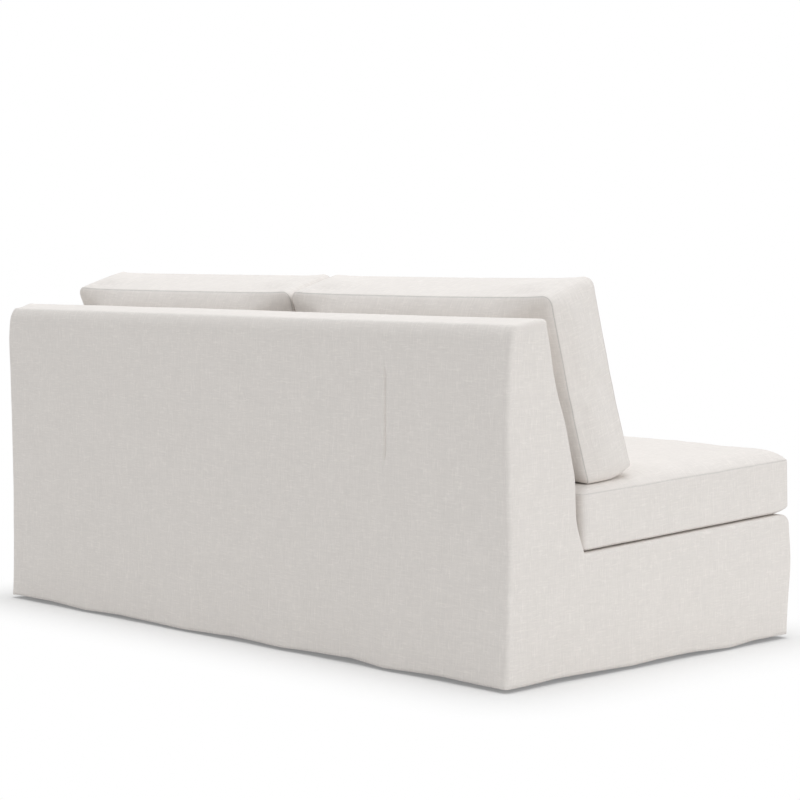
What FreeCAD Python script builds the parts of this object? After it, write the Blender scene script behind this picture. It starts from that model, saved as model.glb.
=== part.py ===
# Armless slipcovered loveseat. A doweled hardwood frame stands on legs, carries flat seat springs, back
# webbing and foam, and wears a loose cover that falls almost to the floor. A bench seat cushion and two
# back cushions lie on the cover. Millimetres, +Z up, front towards -Y, +X to the sitter's left, origin on
# the floor under the middle of the loveseat.
import FreeCAD
import Part
import math
import os

# Overall sizes, over the cover
overall_width = 1830.0
overall_depth = 980.0
back_height = 786.0
back_top_depth = 90.0
back_lean = math.radians(16.7)
deck_front_height = 301.0
seat_pitch = math.radians(2.1)
hem_gap = 9.0
top_rear_radius = 32.0
top_front_radius = 24.0
seat_front_radius = 22.0

# Cover cloth and the play between the cover and the padding under it
cloth = 2.0
cover_play = 0.5

# Padding
side_pad = 9.0
rear_pad = 10.0
front_pad = 14.0
back_foam = 45.0
deck_foam = 38.0
deck_felt = 5.0

# Boards and timber
board = 3.0
rail_thickness = 25.0
post_thickness = 28.0
base_height = 82.0
top_cap_foam = 26.0
top_rail_height = 80.0
rear_rail_height = 108.0
rear_seat_rail_lift = 44.0
lower_rail_lift = 72.0
lower_rail_height = 60.0
lower_rail_depth = 34.0
stretcher_drop = 85.0
corner_block_leg = 80.0
corner_block_height = 60.0

# Dowels, screws and leg bolts
dowel_radius = 5.0
dowel_length = 44.0
dowel_spacing = 28.0
base_dowel_height = 28.0
screw_radius = 2.5
screw_length = 64.0
screw_height = 53.0
screw_head_radius = 4.5
screw_head_height = 3.0
bolt_radius = 4.0
bolt_in_leg = 46.0
bolt_in_frame = 38.0
fastener_play = 0.15

# Legs and glides
leg_size = 55.0
leg_inset = 45.0
leg_chamfer = 4.0
glide_radius = 14.0
glide_height = 6.0
glide_pin_radius = 2.0
glide_pin_length = 16.0

# Springs, clips, cross wires and webbing
spring_count = 12
spring_wire_radius = 2.0
spring_run = 36.0
spring_pitch = 22.0
clip_wall = 1.5
clip_width = 22.0
clip_depth = 16.0
cross_wire_count = 2
webbing_count = 10
webbing_width = 50.0
webbing = 2.0

# Dust sheet under the frame
dust_sheet = 1.0
dust_sheet_hole_play = 1.0

# Cushions: sizes are those of the boxing, and the crown is how far a panel stands proud of its seams
rest_gap = 0.3
edge_radius = 18.0
core_play = 0.4
seat_side_inset = 6.0
seat_front_overhang = 3.0
seat_thickness = 132.0
seat_crown = 30.0
back_cushion_side_inset = 47.5
back_cushion_gap = 4.0
back_cushion_height = 435.0
back_cushion_thickness = 145.0
back_cushion_front_crown = 40.0
back_cushion_rear_crown = 92.0

# Zips, sunk in a groove of the boxing
zip_groove_depth = 11.0
zip_groove_width = 34.0
zip_margin = 150.0
zip_tape_width = 28.0
zip_tape = 1.2
zip_chain_width = 6.0
zip_chain_height = 2.2
zip_slot_width = 8.0
slider_length = 14.0
slider_width = 12.0
slider_roof = 2.4
slider_play = 0.3
pull_length = 26.0
pull_overlap = 5.0
pull_width = 8.0
pull_thickness = 1.2

# Planes and limits that several pieces share
half_width = overall_width / 2
y_front = -overall_depth / 2
y_rear = overall_depth / 2
under_cover = cloth + cover_play
pad_half = half_width - under_cover
boarded_half = pad_half - side_pad
frame_half = boarded_half - board
frame_rear = y_rear - under_cover - rear_pad - board
frame_front = y_front + under_cover + front_pad
frame_top = back_height - under_cover - top_cap_foam
webbing_depth = under_cover + back_foam
support_depth = webbing_depth + webbing
felt_depth = under_cover + deck_foam
clip_top_depth = felt_depth + deck_felt + fastener_play
wire_depth = clip_top_depth + clip_wall + fastener_play + spring_wire_radius
rail_depth = wire_depth + spring_wire_radius + fastener_play + clip_wall

REAR, UP, FORWARD = 0.0, math.pi / 2, math.pi
SLOPE = math.pi - back_lean
DECK = math.pi / 2 - seat_pitch


def back_y(z, depth=0.0):
    """Y at height z of the plane that lies depth behind the inside back's cloth."""
    return y_rear - back_top_depth - (back_height - z) * math.tan(back_lean) + depth / math.cos(back_lean)


def deck_z(y, depth=0.0):
    """Height at y of the plane that lies depth under the deck's cloth."""
    return deck_front_height - (y - y_front) * math.tan(seat_pitch) - depth / math.cos(seat_pitch)


def crease(back_depth, deck_depth):
    """(y, z) where a plane behind the inside back meets a plane under the deck."""
    lean, pitch = math.tan(back_lean), math.tan(seat_pitch)
    y = (back_y(0, back_depth) + deck_z(0, deck_depth) * lean) / (1 + lean * pitch)
    return y, deck_z(y, deck_depth)


top_rear_centre = (y_rear - top_rear_radius, back_height - top_rear_radius)
top_front_centre = (back_y(back_height - top_front_radius, top_front_radius), back_height - top_front_radius)
seat_front_centre = (y_front + seat_front_radius, deck_z(y_front + seat_front_radius, seat_front_radius))
post_front, seat_rail_top = crease(support_depth, rail_depth)
seat_rail_bottom = base_height + rear_seat_rail_lift
lower_rail_bottom = seat_rail_top + lower_rail_lift
lower_rail_top = lower_rail_bottom + lower_rail_height
post_inner = frame_half - post_thickness
post_top = frame_top - top_rail_height


def polar(centre, radius, angle):
    """Point (y, z) at an angle about a centre, counted from +Y towards +Z."""
    return centre[0] + radius * math.cos(angle), centre[1] + radius * math.sin(angle)


def line(a, b):
    """Straight edge between two (y, z) points."""
    return Part.LineSegment(FreeCAD.Vector(0, *a), FreeCAD.Vector(0, *b)).toShape()


def arc(centre, radius, start, end):
    """Round edge about a centre from one angle to another."""
    points = [polar(centre, radius, a) for a in (start, (start + end) / 2, end)]
    return Part.Arc(*[FreeCAD.Vector(0, *p) for p in points]).toShape()


def extruded(edges, x0, x1):
    """Solid between two X planes whose outline is a closed loop of edges."""
    face = Part.Face(Part.Wire(Part.__sortEdges__(edges)))
    face.translate(FreeCAD.Vector(x0, 0, 0))
    return face.extrude(FreeCAD.Vector(x1 - x0, 0, 0))


def prism(points, x0, x1):
    """Solid between two X planes whose outline is a polygon of (y, z) points."""
    return extruded([line(a, b) for a, b in zip(points, points[1:] + points[:1])], x0, x1)


def box(x0, x1, y0, y1, z0, z1):
    """Plain block between six planes."""
    return Part.makeBox(x1 - x0, y1 - y0, z1 - z0, FreeCAD.Vector(x0, y0, z0))


def rod(start, end, radius):
    """Round bar between two points."""
    a, b = FreeCAD.Vector(*start), FreeCAD.Vector(*end)
    return Part.makeCylinder(radius, (b - a).Length, a, b - a)


def minus(shape, cutters):
    """Shape with every cutter taken out of it."""
    return shape.cut(cutters) if cutters else shape


def mirrored(shape):
    """The same piece on the other side of the middle plane."""
    return shape.mirror(FreeCAD.Vector(0, 0, 0), FreeCAD.Vector(1, 0, 0))


nodes = {}


def keep(name, *solids):
    """File solids under the name of the piece that they are."""
    nodes[name] = Part.makeCompound(list(solids))


# Dowels of the frame, across every joint, in holes with a little play
def dowel(middle, axis):
    """End points of a dowel along axis, half in each of the pieces that meet at its middle."""
    reach = FreeCAD.Vector(*axis) * (dowel_length / 2)
    return FreeCAD.Vector(*middle) - reach, FreeCAD.Vector(*middle) + reach


def dowel_pair(x, y, z, axis):
    """Two dowels along axis, one above the other."""
    return [dowel((x, y, z + offset), axis) for offset in (-dowel_spacing / 2, dowel_spacing / 2)]


def frame_dowels():
    along_x, along_y, along_z = (1, 0, 0), (0, 1, 0), (0, 0, 1)
    rail_middle = frame_half - rail_thickness / 2
    base_z = base_height + base_dowel_height
    seat_rail_y = post_front + rail_thickness / 2
    seat_rail_z = (seat_rail_bottom + seat_rail_top) / 2
    lower_y = back_y(lower_rail_top, support_depth) + lower_rail_depth / 2
    lower_z = (lower_rail_bottom + lower_rail_top) / 2
    post_top_y = (frame_rear + back_y(post_top, support_depth)) / 2
    found = []
    for side in (-1, 1):
        found += dowel_pair(side * rail_middle, frame_front + rail_thickness, base_z, along_y)
        found += dowel_pair(side * rail_middle, post_front, base_z, along_y)
        found += dowel_pair(side * post_inner, frame_rear - rail_thickness / 2, base_z, along_x)
        found += dowel_pair(side * post_inner, seat_rail_y, seat_rail_z, along_x)
        found += dowel_pair(side * post_inner, lower_y, lower_z, along_x)
    for x in (post_thickness / 2 - frame_half, 0, frame_half - post_thickness / 2):
        found.append(dowel((x, post_top_y, post_top), along_z))
    return found


dowels = frame_dowels()
dowel_holes = [rod(a, b, dowel_radius + fastener_play) for a, b in dowels]


# Screws through the corner blocks, square to their long faces, and bolts up through the legs
block_corners = [
    (side * (frame_half - wall), y, side, inward)
    for side in (1, -1)
    for wall, y, inward in (
        (rail_thickness, frame_front + rail_thickness, 1),
        (post_thickness, frame_rear - rail_thickness, -1),
    )
]


def block_screw(x, y, side, inward, play=0.0):
    """Screw of the corner block whose right angle is at x, y, its head flush with the block's long face."""
    half = corner_block_leg / 2
    face = FreeCAD.Vector(x - side * half, y + inward * half, base_height + screw_height)
    into = FreeCAD.Vector(side, -inward, 0).normalize()
    shank = rod(face, face + into * (screw_length + play), screw_radius + play)
    head = rod(face, face + into * (screw_head_height + play), screw_head_radius + play)
    return shank.fuse(head).removeSplitter()


screw_holes = [block_screw(*corner, fastener_play) for corner in block_corners]

leg_places = {
    f"{row}_{column}_leg": (x, y)
    for row, y in (("front", frame_front + leg_inset), ("rear", frame_rear - leg_inset))
    for column, x in (("left", frame_half - leg_inset), ("centre", 0.0), ("right", -frame_half + leg_inset))
}
bolt_low, bolt_high = base_height - bolt_in_leg, base_height + bolt_in_frame
bolt_holes = [
    rod((x, y, bolt_low - fastener_play), (x, y, bolt_high + fastener_play), bolt_radius + fastener_play)
    for x, y in leg_places.values()
]
timber_holes = dowel_holes + screw_holes + bolt_holes


def drilled(shape):
    """Timber with the holes of the fasteners that reach into it."""
    reach = shape.BoundBox
    return minus(shape, [h for h in timber_holes if h.BoundBox.intersect(reach)])


# Base of the frame: the front and side rails, and the stretcher between front and back
def base_rails():
    behind_front = frame_front + rail_thickness

    def rail(y0, y1, depth):
        """Outline of a rail on the base whose top edge follows the deck, depth under its cloth."""
        return [(y0, base_height), (y0, deck_z(y0, depth)), (y1, deck_z(y1, depth)), (y1, base_height)]

    side, half_rail = rail(behind_front, post_front, rail_depth), rail_thickness / 2
    keep("front_rail", drilled(prism(rail(frame_front, behind_front, rail_depth), -frame_half, frame_half)))
    keep("left_side_rail", drilled(prism(side, frame_half - rail_thickness, frame_half)))
    keep("right_side_rail", drilled(prism(side, -frame_half, rail_thickness - frame_half)))
    stretcher = rail(behind_front, post_front, stretcher_drop)
    keep("centre_stretcher", drilled(prism(stretcher, -half_rail, half_rail)))


# Back of the frame: three posts cut to the lean, and the rails that join them
def back_frame():
    rear_top = base_height + rear_rail_height
    rear = box(-post_inner, post_inner, frame_rear - rail_thickness, frame_rear, base_height, rear_top)
    seat_rail_back = post_front + rail_thickness
    seat_rail_outline = [
        (post_front, seat_rail_bottom),
        (post_front, seat_rail_top),
        (seat_rail_back, deck_z(seat_rail_back, rail_depth)),
        (seat_rail_back, seat_rail_bottom),
    ]
    seat_rail = prism(seat_rail_outline, -post_inner, post_inner)
    lower_back = back_y(lower_rail_top, support_depth) + lower_rail_depth
    lower_outline = [
        (back_y(lower_rail_bottom, support_depth), lower_rail_bottom),
        (back_y(lower_rail_top, support_depth), lower_rail_top),
        (lower_back, lower_rail_top),
        (lower_back, lower_rail_bottom),
    ]
    lower = prism(lower_outline, -post_inner, post_inner)
    post = [
        (frame_rear, base_height),
        (frame_rear, post_top),
        (back_y(post_top, support_depth), post_top),
        (post_front, seat_rail_top),
        (post_front, base_height),
    ]
    top = [
        (frame_rear, post_top),
        (frame_rear, frame_top),
        (back_y(frame_top, support_depth), frame_top),
        (back_y(post_top, support_depth), post_top),
    ]
    centre = prism(post, -post_thickness / 2, post_thickness / 2)
    keep("left_back_post", drilled(prism(post, post_inner, frame_half)))
    keep("right_back_post", drilled(prism(post, -frame_half, -post_inner)))
    keep("centre_back_post", drilled(minus(centre, [rear, seat_rail, lower])))
    keep("rear_rail", drilled(rear))
    keep("rear_seat_rail", drilled(seat_rail))
    keep("lower_back_rail", drilled(lower))
    keep("top_back_rail", drilled(prism(top, -frame_half, frame_half)))


# Corner blocks and the fasteners
def corner_block(x, y, side, inward):
    """Triangular block in the corner at x, y."""
    corners = [(x, y), (x - side * corner_block_leg, y), (x, y + inward * corner_block_leg)]
    points = [FreeCAD.Vector(*c, base_height) for c in corners]
    face = Part.Face(Part.makePolygon(points + points[:1]))
    return drilled(face.extrude(FreeCAD.Vector(0, 0, corner_block_height)))


def fasteners():
    keep("corner_blocks", *[corner_block(*corner) for corner in block_corners])
    keep("corner_screws", *[block_screw(*corner) for corner in block_corners])
    keep("frame_dowels", *[rod(a, b, dowel_radius) for a, b in dowels])
    bolts = [rod((x, y, bolt_low), (x, y, bolt_high), bolt_radius) for x, y in leg_places.values()]
    keep("leg_bolts", *bolts)


# Legs, each with a nailed glide under it
def legs():
    half = leg_size / 2
    glides = []
    for (name, (x, y)), bolt_hole in zip(leg_places.items(), bolt_holes):
        leg = box(x - half, x + half, y - half, y + half, glide_height, base_height)
        upright = [e for e in leg.Edges if abs(e.tangentAt(e.FirstParameter).z) > 0.5]
        leg = leg.makeChamfer(leg_chamfer, upright)
        pin_top = glide_height + glide_pin_length
        pin_hole = rod((x, y, 0), (x, y, pin_top + fastener_play), glide_pin_radius + fastener_play)
        keep(name, minus(leg, [bolt_hole, pin_hole]))
        foot = rod((x, y, 0), (x, y, glide_height), glide_radius)
        pin = rod((x, y, 0), (x, y, pin_top), glide_pin_radius)
        glides.append(foot.fuse(pin).removeSplitter())
    keep("leg_glides", *glides)


# Seat springs: flat zigzag wires from the front rail to the rail under the back, in clips at both ends
front_clip_y = frame_front + rail_thickness / 2
rear_clip_y = post_front + rail_thickness / 2


def deck_point(x, along, depth):
    """Point that lies along from the front clips, towards the back, and depth under the deck's cloth."""
    y = front_clip_y + along * math.cos(seat_pitch)
    return FreeCAD.Vector(x, y, deck_z(y, depth))


def seat_spring(x):
    """One spring about x: runs across the seat joined by half rounds."""
    length = (rear_clip_y - front_clip_y) / math.cos(seat_pitch)
    count = round(length / spring_pitch)
    pitch = length / count
    edges = []
    for k in range(count + 1):
        sign = 1 if k % 2 == 0 else -1
        start = deck_point(x - sign * spring_run / 2, k * pitch, wire_depth)
        end = deck_point(x + sign * spring_run / 2, k * pitch, wire_depth)
        edges.append(Part.LineSegment(start, end).toShape())
        if k < count:
            bend = deck_point(x + sign * (spring_run / 2 + pitch / 2), (k + 0.5) * pitch, wire_depth)
            after = deck_point(x + sign * spring_run / 2, (k + 1) * pitch, wire_depth)
            edges.append(Part.Arc(end, bend, after).toShape())
    start = deck_point(x - spring_run / 2, 0, wire_depth)
    section = Part.Wire(Part.makeCircle(spring_wire_radius, start, FreeCAD.Vector(1, 0, 0)))
    return Part.Wire(edges).makePipeShell([section], True, False)


def spring_clip(x, y):
    """Clip on a rail's top edge, bored for the end run of a spring."""
    ends = (y - clip_depth / 2, y + clip_depth / 2)
    low = [(e, deck_z(e, rail_depth)) for e in ends]
    high = [(e, deck_z(e, clip_top_depth)) for e in reversed(ends)]
    body = prism(low + high, x - clip_width / 2, x + clip_width / 2)
    z = deck_z(y, wire_depth)
    bore = rod((x - clip_width, y, z), (x + clip_width, y, z), spring_wire_radius + fastener_play)
    return minus(body, [bore])


def springs():
    inner = frame_half - rail_thickness
    spacing = 2 * inner / spring_count
    places = [-inner + spacing * (i + 0.5) for i in range(spring_count)]
    keep("seat_springs", *[seat_spring(x) for x in places])
    keep("front_spring_clips", *[spring_clip(x, front_clip_y) for x in places])
    keep("rear_spring_clips", *[spring_clip(x, rear_clip_y) for x in places])
    reach = (rear_clip_y - front_clip_y) / math.cos(seat_pitch)
    under = wire_depth + 2 * spring_wire_radius + fastener_play
    wires = []
    for i in range(cross_wire_count):
        along = reach * (i + 1) / (cross_wire_count + 1)
        ends = [deck_point(x, along, under) for x in (-inner, inner)]
        wires.append(rod(*ends, spring_wire_radius))
    keep("cross_wires", *wires)


# Back webbing: upright straps on the front of the back's rails
def back_webbing():
    spacing = 2 * post_inner / webbing_count
    low, high = lower_rail_bottom, frame_top
    strap = [
        (back_y(low, support_depth), low),
        (back_y(low, webbing_depth), low),
        (back_y(high, webbing_depth), high),
        (back_y(high, support_depth), high),
    ]
    half = webbing_width / 2
    places = [-post_inner + spacing * (i + 0.5) for i in range(webbing_count)]
    keep("back_webbing", *[prism(strap, x - half, x + half) for x in places])


# Boards and padding of the frame
def wood_outline():
    """Side view of the timber, which the side boards cover."""
    return [
        (frame_rear, base_height),
        (frame_rear, frame_top),
        (back_y(frame_top, support_depth), frame_top),
        (post_front, seat_rail_top),
        (frame_front, deck_z(frame_front, rail_depth)),
        (frame_front, base_height),
    ]


def cover_outline(depth, bottom):
    """Side view of the cover, depth inside its outer face, down to a bottom height."""
    rear_r, front_r, seat_r = (r - depth for r in (top_rear_radius, top_front_radius, seat_front_radius))
    rear_foot, front_foot = (y_rear - depth, bottom), (y_front + depth, bottom)
    fold = crease(depth, depth)
    return [
        line(rear_foot, polar(top_rear_centre, rear_r, REAR)),
        arc(top_rear_centre, rear_r, REAR, UP),
        line(polar(top_rear_centre, rear_r, UP), polar(top_front_centre, front_r, UP)),
        arc(top_front_centre, front_r, UP, SLOPE),
        line(polar(top_front_centre, front_r, SLOPE), fold),
        line(fold, polar(seat_front_centre, seat_r, DECK)),
        arc(seat_front_centre, seat_r, DECK, FORWARD),
        line(polar(seat_front_centre, seat_r, FORWARD), front_foot),
        line(front_foot, rear_foot),
    ]


def side_padding():
    board_left = prism(wood_outline(), frame_half, boarded_half)
    pad_left = extruded(cover_outline(under_cover, base_height), boarded_half, pad_half)
    keep("left_side_board", board_left)
    keep("right_side_board", mirrored(board_left))
    keep("left_side_pad", pad_left)
    keep("right_side_pad", mirrored(pad_left))


def back_padding():
    half = boarded_half
    rear_face, pad_face, pad_top = frame_rear + board, frame_rear + board + rear_pad, top_rear_centre[1]
    keep("outside_back_board", box(-half, half, frame_rear, rear_face, base_height, frame_top))
    keep("outside_back_pad", box(-half, half, rear_face, pad_face, base_height, pad_top))
    front_r, rear_r = top_front_radius - under_cover, top_rear_radius - under_cover
    front_edge = polar(top_front_centre, front_r, SLOPE)
    rear_edge = polar(top_front_centre, front_r - back_foam, SLOPE)
    slab = [crease(under_cover, felt_depth), front_edge, rear_edge, crease(webbing_depth, felt_depth)]
    keep("inside_back_foam", prism(slab, -half, half))
    cap = [
        arc(top_rear_centre, rear_r, REAR, UP),
        line(polar(top_rear_centre, rear_r, UP), polar(top_front_centre, front_r, UP)),
        arc(top_front_centre, front_r, UP, SLOPE),
        line(front_edge, rear_edge),
        line(rear_edge, (back_y(frame_top, webbing_depth), frame_top)),
        line((back_y(frame_top, webbing_depth), frame_top), (rear_face, frame_top)),
        line((rear_face, frame_top), (rear_face, pad_top)),
        line((rear_face, pad_top), (pad_face, pad_top)),
    ]
    keep("top_back_foam", extruded(cap, -half, half))


def deck_padding():
    y_pad = y_front + under_cover
    round_r = seat_front_radius - under_cover
    foam_foot = (y_pad, deck_z(y_pad, felt_depth))
    rear_top, rear_foot = crease(under_cover, under_cover), crease(under_cover, felt_depth)
    foam = [
        line(foam_foot, polar(seat_front_centre, round_r, FORWARD)),
        arc(seat_front_centre, round_r, FORWARD, DECK),
        line(polar(seat_front_centre, round_r, DECK), rear_top),
        line(rear_top, rear_foot),
        line(rear_foot, foam_foot),
    ]
    keep("deck_foam", extruded(foam, -boarded_half, boarded_half))
    felt_back = crease(webbing_depth, felt_depth)[0]
    felt = [
        (frame_front, deck_z(frame_front, felt_depth)),
        (felt_back, deck_z(felt_back, felt_depth)),
        (felt_back, deck_z(felt_back, felt_depth + deck_felt)),
        (frame_front, deck_z(frame_front, felt_depth + deck_felt)),
    ]
    keep("deck_felt", prism(felt, -boarded_half, boarded_half))
    pad = [
        (y_pad, base_height),
        (y_pad, deck_z(y_pad, felt_depth)),
        (frame_front, deck_z(frame_front, felt_depth)),
        (frame_front, base_height),
    ]
    keep("front_pad", prism(pad, -boarded_half, boarded_half))


def dust_cover():
    low, reach = base_height - dust_sheet, leg_size / 2 + dust_sheet_hole_play
    sheet = box(-frame_half, frame_half, frame_front, frame_rear, low, base_height)
    holes = [
        box(x - reach, x + reach, y - reach, y + reach, low - dust_sheet, base_height + dust_sheet)
        for x, y in leg_places.values()
    ]
    keep("dust_cover", minus(sheet, holes))


# Loose cover: two side panels, and the panels between them from the back over the top to the front hem
def cover():
    inner = half_width - cloth
    side = extruded(cover_outline(0.0, hem_gap), inner, half_width)
    keep("cover_left_side", side)
    keep("cover_right_side", mirrored(side))
    keep("cover_outside_back", box(-inner, inner, y_rear - cloth, y_rear, hem_gap, top_rear_centre[1]))
    over_top, over_front = [], []
    for depth in (0.0, cloth):
        rear_r, front_r, seat_r = (r - depth for r in (top_rear_radius, top_front_radius, seat_front_radius))
        over_top += [
            arc(top_rear_centre, rear_r, REAR, UP),
            line(polar(top_rear_centre, rear_r, UP), polar(top_front_centre, front_r, UP)),
            arc(top_front_centre, front_r, UP, SLOPE),
        ]
        front_top = polar(seat_front_centre, seat_r, FORWARD)
        over_front += [
            arc(seat_front_centre, seat_r, DECK, FORWARD),
            line(front_top, (front_top[0], hem_gap)),
        ]
    slope_top = [polar(top_front_centre, top_front_radius - d, SLOPE) for d in (0.0, cloth)]
    deck_edge = [polar(seat_front_centre, seat_front_radius - d, DECK) for d in (0.0, cloth)]
    fold = [crease(d, d) for d in (0.0, cloth)]
    over_top += [line(*slope_top), line((y_rear - cloth, top_rear_centre[1]), (y_rear, top_rear_centre[1]))]
    over_front += [line(*deck_edge), line((y_front, hem_gap), (y_front + cloth, hem_gap))]
    keep("cover_top", extruded(over_top, -inner, inner))
    keep("cover_inside_back", prism([*slope_top, fold[1], fold[0]], -inner, inner))
    keep("cover_deck", prism([*deck_edge, fold[1], fold[0]], -inner, inner))
    keep("cover_front", extruded(over_front, -inner, inner))


# Cushions: a sewn cover with crowned panels and a zip sunk in one boxing, round a foam or fibre core
class Cushion:
    """A boxed cushion. a runs from the zip's boxing to the far one, and b from the lower or rear panel
    to the other, from a corner in the YZ plane; x runs across."""

    def __init__(self, corner, turn, b_side, x_range, length, thickness, crown_low, crown_high):
        self.corner = corner
        self.along = (math.cos(turn), math.sin(turn))
        self.across = (-b_side * math.sin(turn), b_side * math.cos(turn))
        self.x0, self.x1 = x_range
        self.length = length
        self.thickness = thickness
        self.crown_low = crown_low
        self.crown_high = crown_high
        self.zip_half = (self.x1 - self.x0) / 2 - zip_margin
        self.middle = (self.x0 + self.x1) / 2

    def point(self, a, b):
        """(y, z) of a place in the cushion's own frame."""
        return tuple(self.corner[k] + a * self.along[k] + b * self.across[k] for k in (0, 1))

    def panel(self, start, end, crown):
        """Edge of a panel, bowed by its crown."""
        if crown == 0:
            return line(self.point(*start), self.point(*end))
        bow = self.point((start[0] + end[0]) / 2, start[1] + crown)
        points = [self.point(*start), bow, self.point(*end)]
        return Part.Arc(*[FreeCAD.Vector(0, *p) for p in points]).toShape()

    def bow_radius(self, crown):
        return (self.length**2 / 4 + crown**2) / (2 * crown)

    def high_bow(self):
        """Centre and radius of the arc that the upper panel follows."""
        radius = self.bow_radius(self.crown_high)
        return self.point(self.length / 2, self.thickness + self.crown_high - radius), radius

    def zip_edge_centre(self):
        """Centre of the rounding between the lower panel and the zip's boxing."""
        radius, half = self.bow_radius(self.crown_low), self.length / 2
        drop = math.sqrt((radius - edge_radius) ** 2 - (half - edge_radius) ** 2)
        return self.point(edge_radius, radius - self.crown_low - drop)

    def body(self, inset):
        """Rounded solid, inset all round from the cushion's outer face."""
        a0, a1 = inset, self.length - inset
        b0, b1 = inset, self.thickness - inset
        edges = [
            self.panel((a0, b0), (a1, b0), -self.crown_low),
            line(self.point(a1, b0), self.point(a1, b1)),
            self.panel((a1, b1), (a0, b1), self.crown_high),
            line(self.point(a0, b1), self.point(a0, b0)),
        ]
        solid = extruded(edges, self.x0 + inset, self.x1 - inset)
        return solid.makeFillet(edge_radius - inset, solid.Edges)

    def bar(self, half, a0, a1, b_half, shift=0.0):
        """Straight bar along x on the middle of the zip's boxing, from a0 to a1 and b_half to each side."""
        b0, b1 = self.thickness / 2 - b_half, self.thickness / 2 + b_half
        corners = [self.point(a, b) for a, b in ((a0, b0), (a1, b0), (a1, b1), (a0, b1))]
        return prism(corners, self.middle + shift - half, self.middle + shift + half)

    def groove(self, grown):
        """Hollow for the zip, grown by the cloth or core play round it."""
        half = self.zip_half + slider_length + grown
        return self.bar(half, -edge_radius, zip_groove_depth + grown, zip_groove_width / 2 + grown)

    def sewn_cover(self):
        hollow = self.body(cloth).cut(self.groove(cloth))
        floor, past_cloth = zip_groove_depth - cloth, zip_groove_depth + 2 * cloth
        slot = self.bar(self.zip_half, floor, past_cloth, zip_slot_width / 2)
        return self.body(0.0).cut([self.groove(0.0), hollow, slot])

    def core(self):
        return self.body(cloth + core_play).cut(self.groove(cloth + core_play))

    def zip_tapes(self):
        face = zip_groove_depth - zip_tape
        tape = self.bar(self.zip_half, face, zip_groove_depth, zip_tape_width / 2)
        chain = self.bar(self.zip_half, face - zip_chain_height, face, zip_chain_width / 2)
        return tape.fuse(chain).removeSplitter()

    def zip_slider(self):
        """Slider at the zip's closed end, over the chain, with its pull lying back along the chain."""
        face = zip_groove_depth - zip_tape - slider_play
        inner_top = zip_groove_depth - zip_tape - zip_chain_height - slider_play
        shift = self.zip_half - slider_length / 2
        body = self.bar(slider_length / 2, inner_top - slider_roof, face, slider_width / 2, shift)
        channel_half = zip_chain_width / 2 + slider_play
        channel = self.bar(slider_length, inner_top, zip_groove_depth, channel_half, shift)
        pull_shift = shift - slider_length / 2 - pull_length / 2 + pull_overlap
        pull_low = inner_top - slider_roof - pull_thickness
        pull = self.bar(pull_length / 2, pull_low, inner_top - slider_roof, pull_width / 2, pull_shift)
        return body.cut(channel).fuse(pull).removeSplitter()

    def keep_pieces(self, name, core_name):
        keep(f"{name}_cover", self.sewn_cover())
        keep(f"{name}_{core_name}", self.core())
        keep(f"{name}_zip", self.zip_tapes())
        keep(f"{name}_zip_slider", self.zip_slider())


def seat_cushion():
    fold_y, fold_z = crease(0.0, 0.0)
    forward = math.pi - seat_pitch
    corner = (fold_y - rest_gap, fold_z + rest_gap)
    front_y = y_front - seat_front_overhang + seat_thickness * math.sin(seat_pitch)
    length = (corner[0] - front_y) / math.cos(seat_pitch)
    half = half_width - seat_side_inset
    return Cushion(corner, forward, -1, (-half, half), length, seat_thickness, 0.0, seat_crown)


def back_cushion(seat, x0, x1):
    """Back cushion that leans on the inside back, its rounded lower edge standing on the seat cushion."""
    low = seat.corner[1]
    in_front = back_cushion_rear_crown + rest_gap
    lean_up = math.pi / 2 - back_lean
    sizes = back_cushion_height, back_cushion_thickness, back_cushion_rear_crown, back_cushion_front_crown
    cushion = Cushion((back_y(low, -in_front), low), lean_up, 1, (x0, x1), *sizes)
    top_centre, top_radius = seat.high_bow()
    edge_centre = cushion.zip_edge_centre()
    apart = [edge_centre[k] - top_centre[k] for k in (0, 1)]
    beside = sum(apart[k] * cushion.along[k] for k in (0, 1))
    reach = top_radius + rest_gap + edge_radius
    slide = math.sqrt(reach**2 - apart[0] ** 2 - apart[1] ** 2 + beside**2) - beside
    cushion.corner = cushion.point(slide, 0.0)
    return cushion


def cushions():
    seat = seat_cushion()
    seat.keep_pieces("seat_cushion", "foam")
    inner, outer = back_cushion_gap / 2, half_width - back_cushion_side_inset
    back_cushion(seat, inner, outer).keep_pieces("left_back_cushion", "fill")
    back_cushion(seat, -outer, -inner).keep_pieces("right_back_cushion", "fill")


base_rails()
back_frame()
fasteners()
legs()
springs()
back_webbing()
side_padding()
back_padding()
deck_padding()
dust_cover()
cover()
cushions()

os.makedirs("parts", exist_ok=True)
for name, shape in nodes.items():
    solids = shape.Solids
    verdict = "valid" if all(s.isValid() and s.Volume > 0 for s in solids) else "NOT VALID"
    print(f"{name}: {len(solids)} solids, {shape.Volume / 1e6:.3f} litres, {verdict}")
    whole = solids[0] if len(solids) == 1 else Part.makeCompound(solids)
    whole.exportStep(f"parts/{name}.step")
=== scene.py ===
import math

import bmesh
import bpy
import numpy as np
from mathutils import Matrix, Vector, noise
from mathutils.bvhtree import BVHTree


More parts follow.
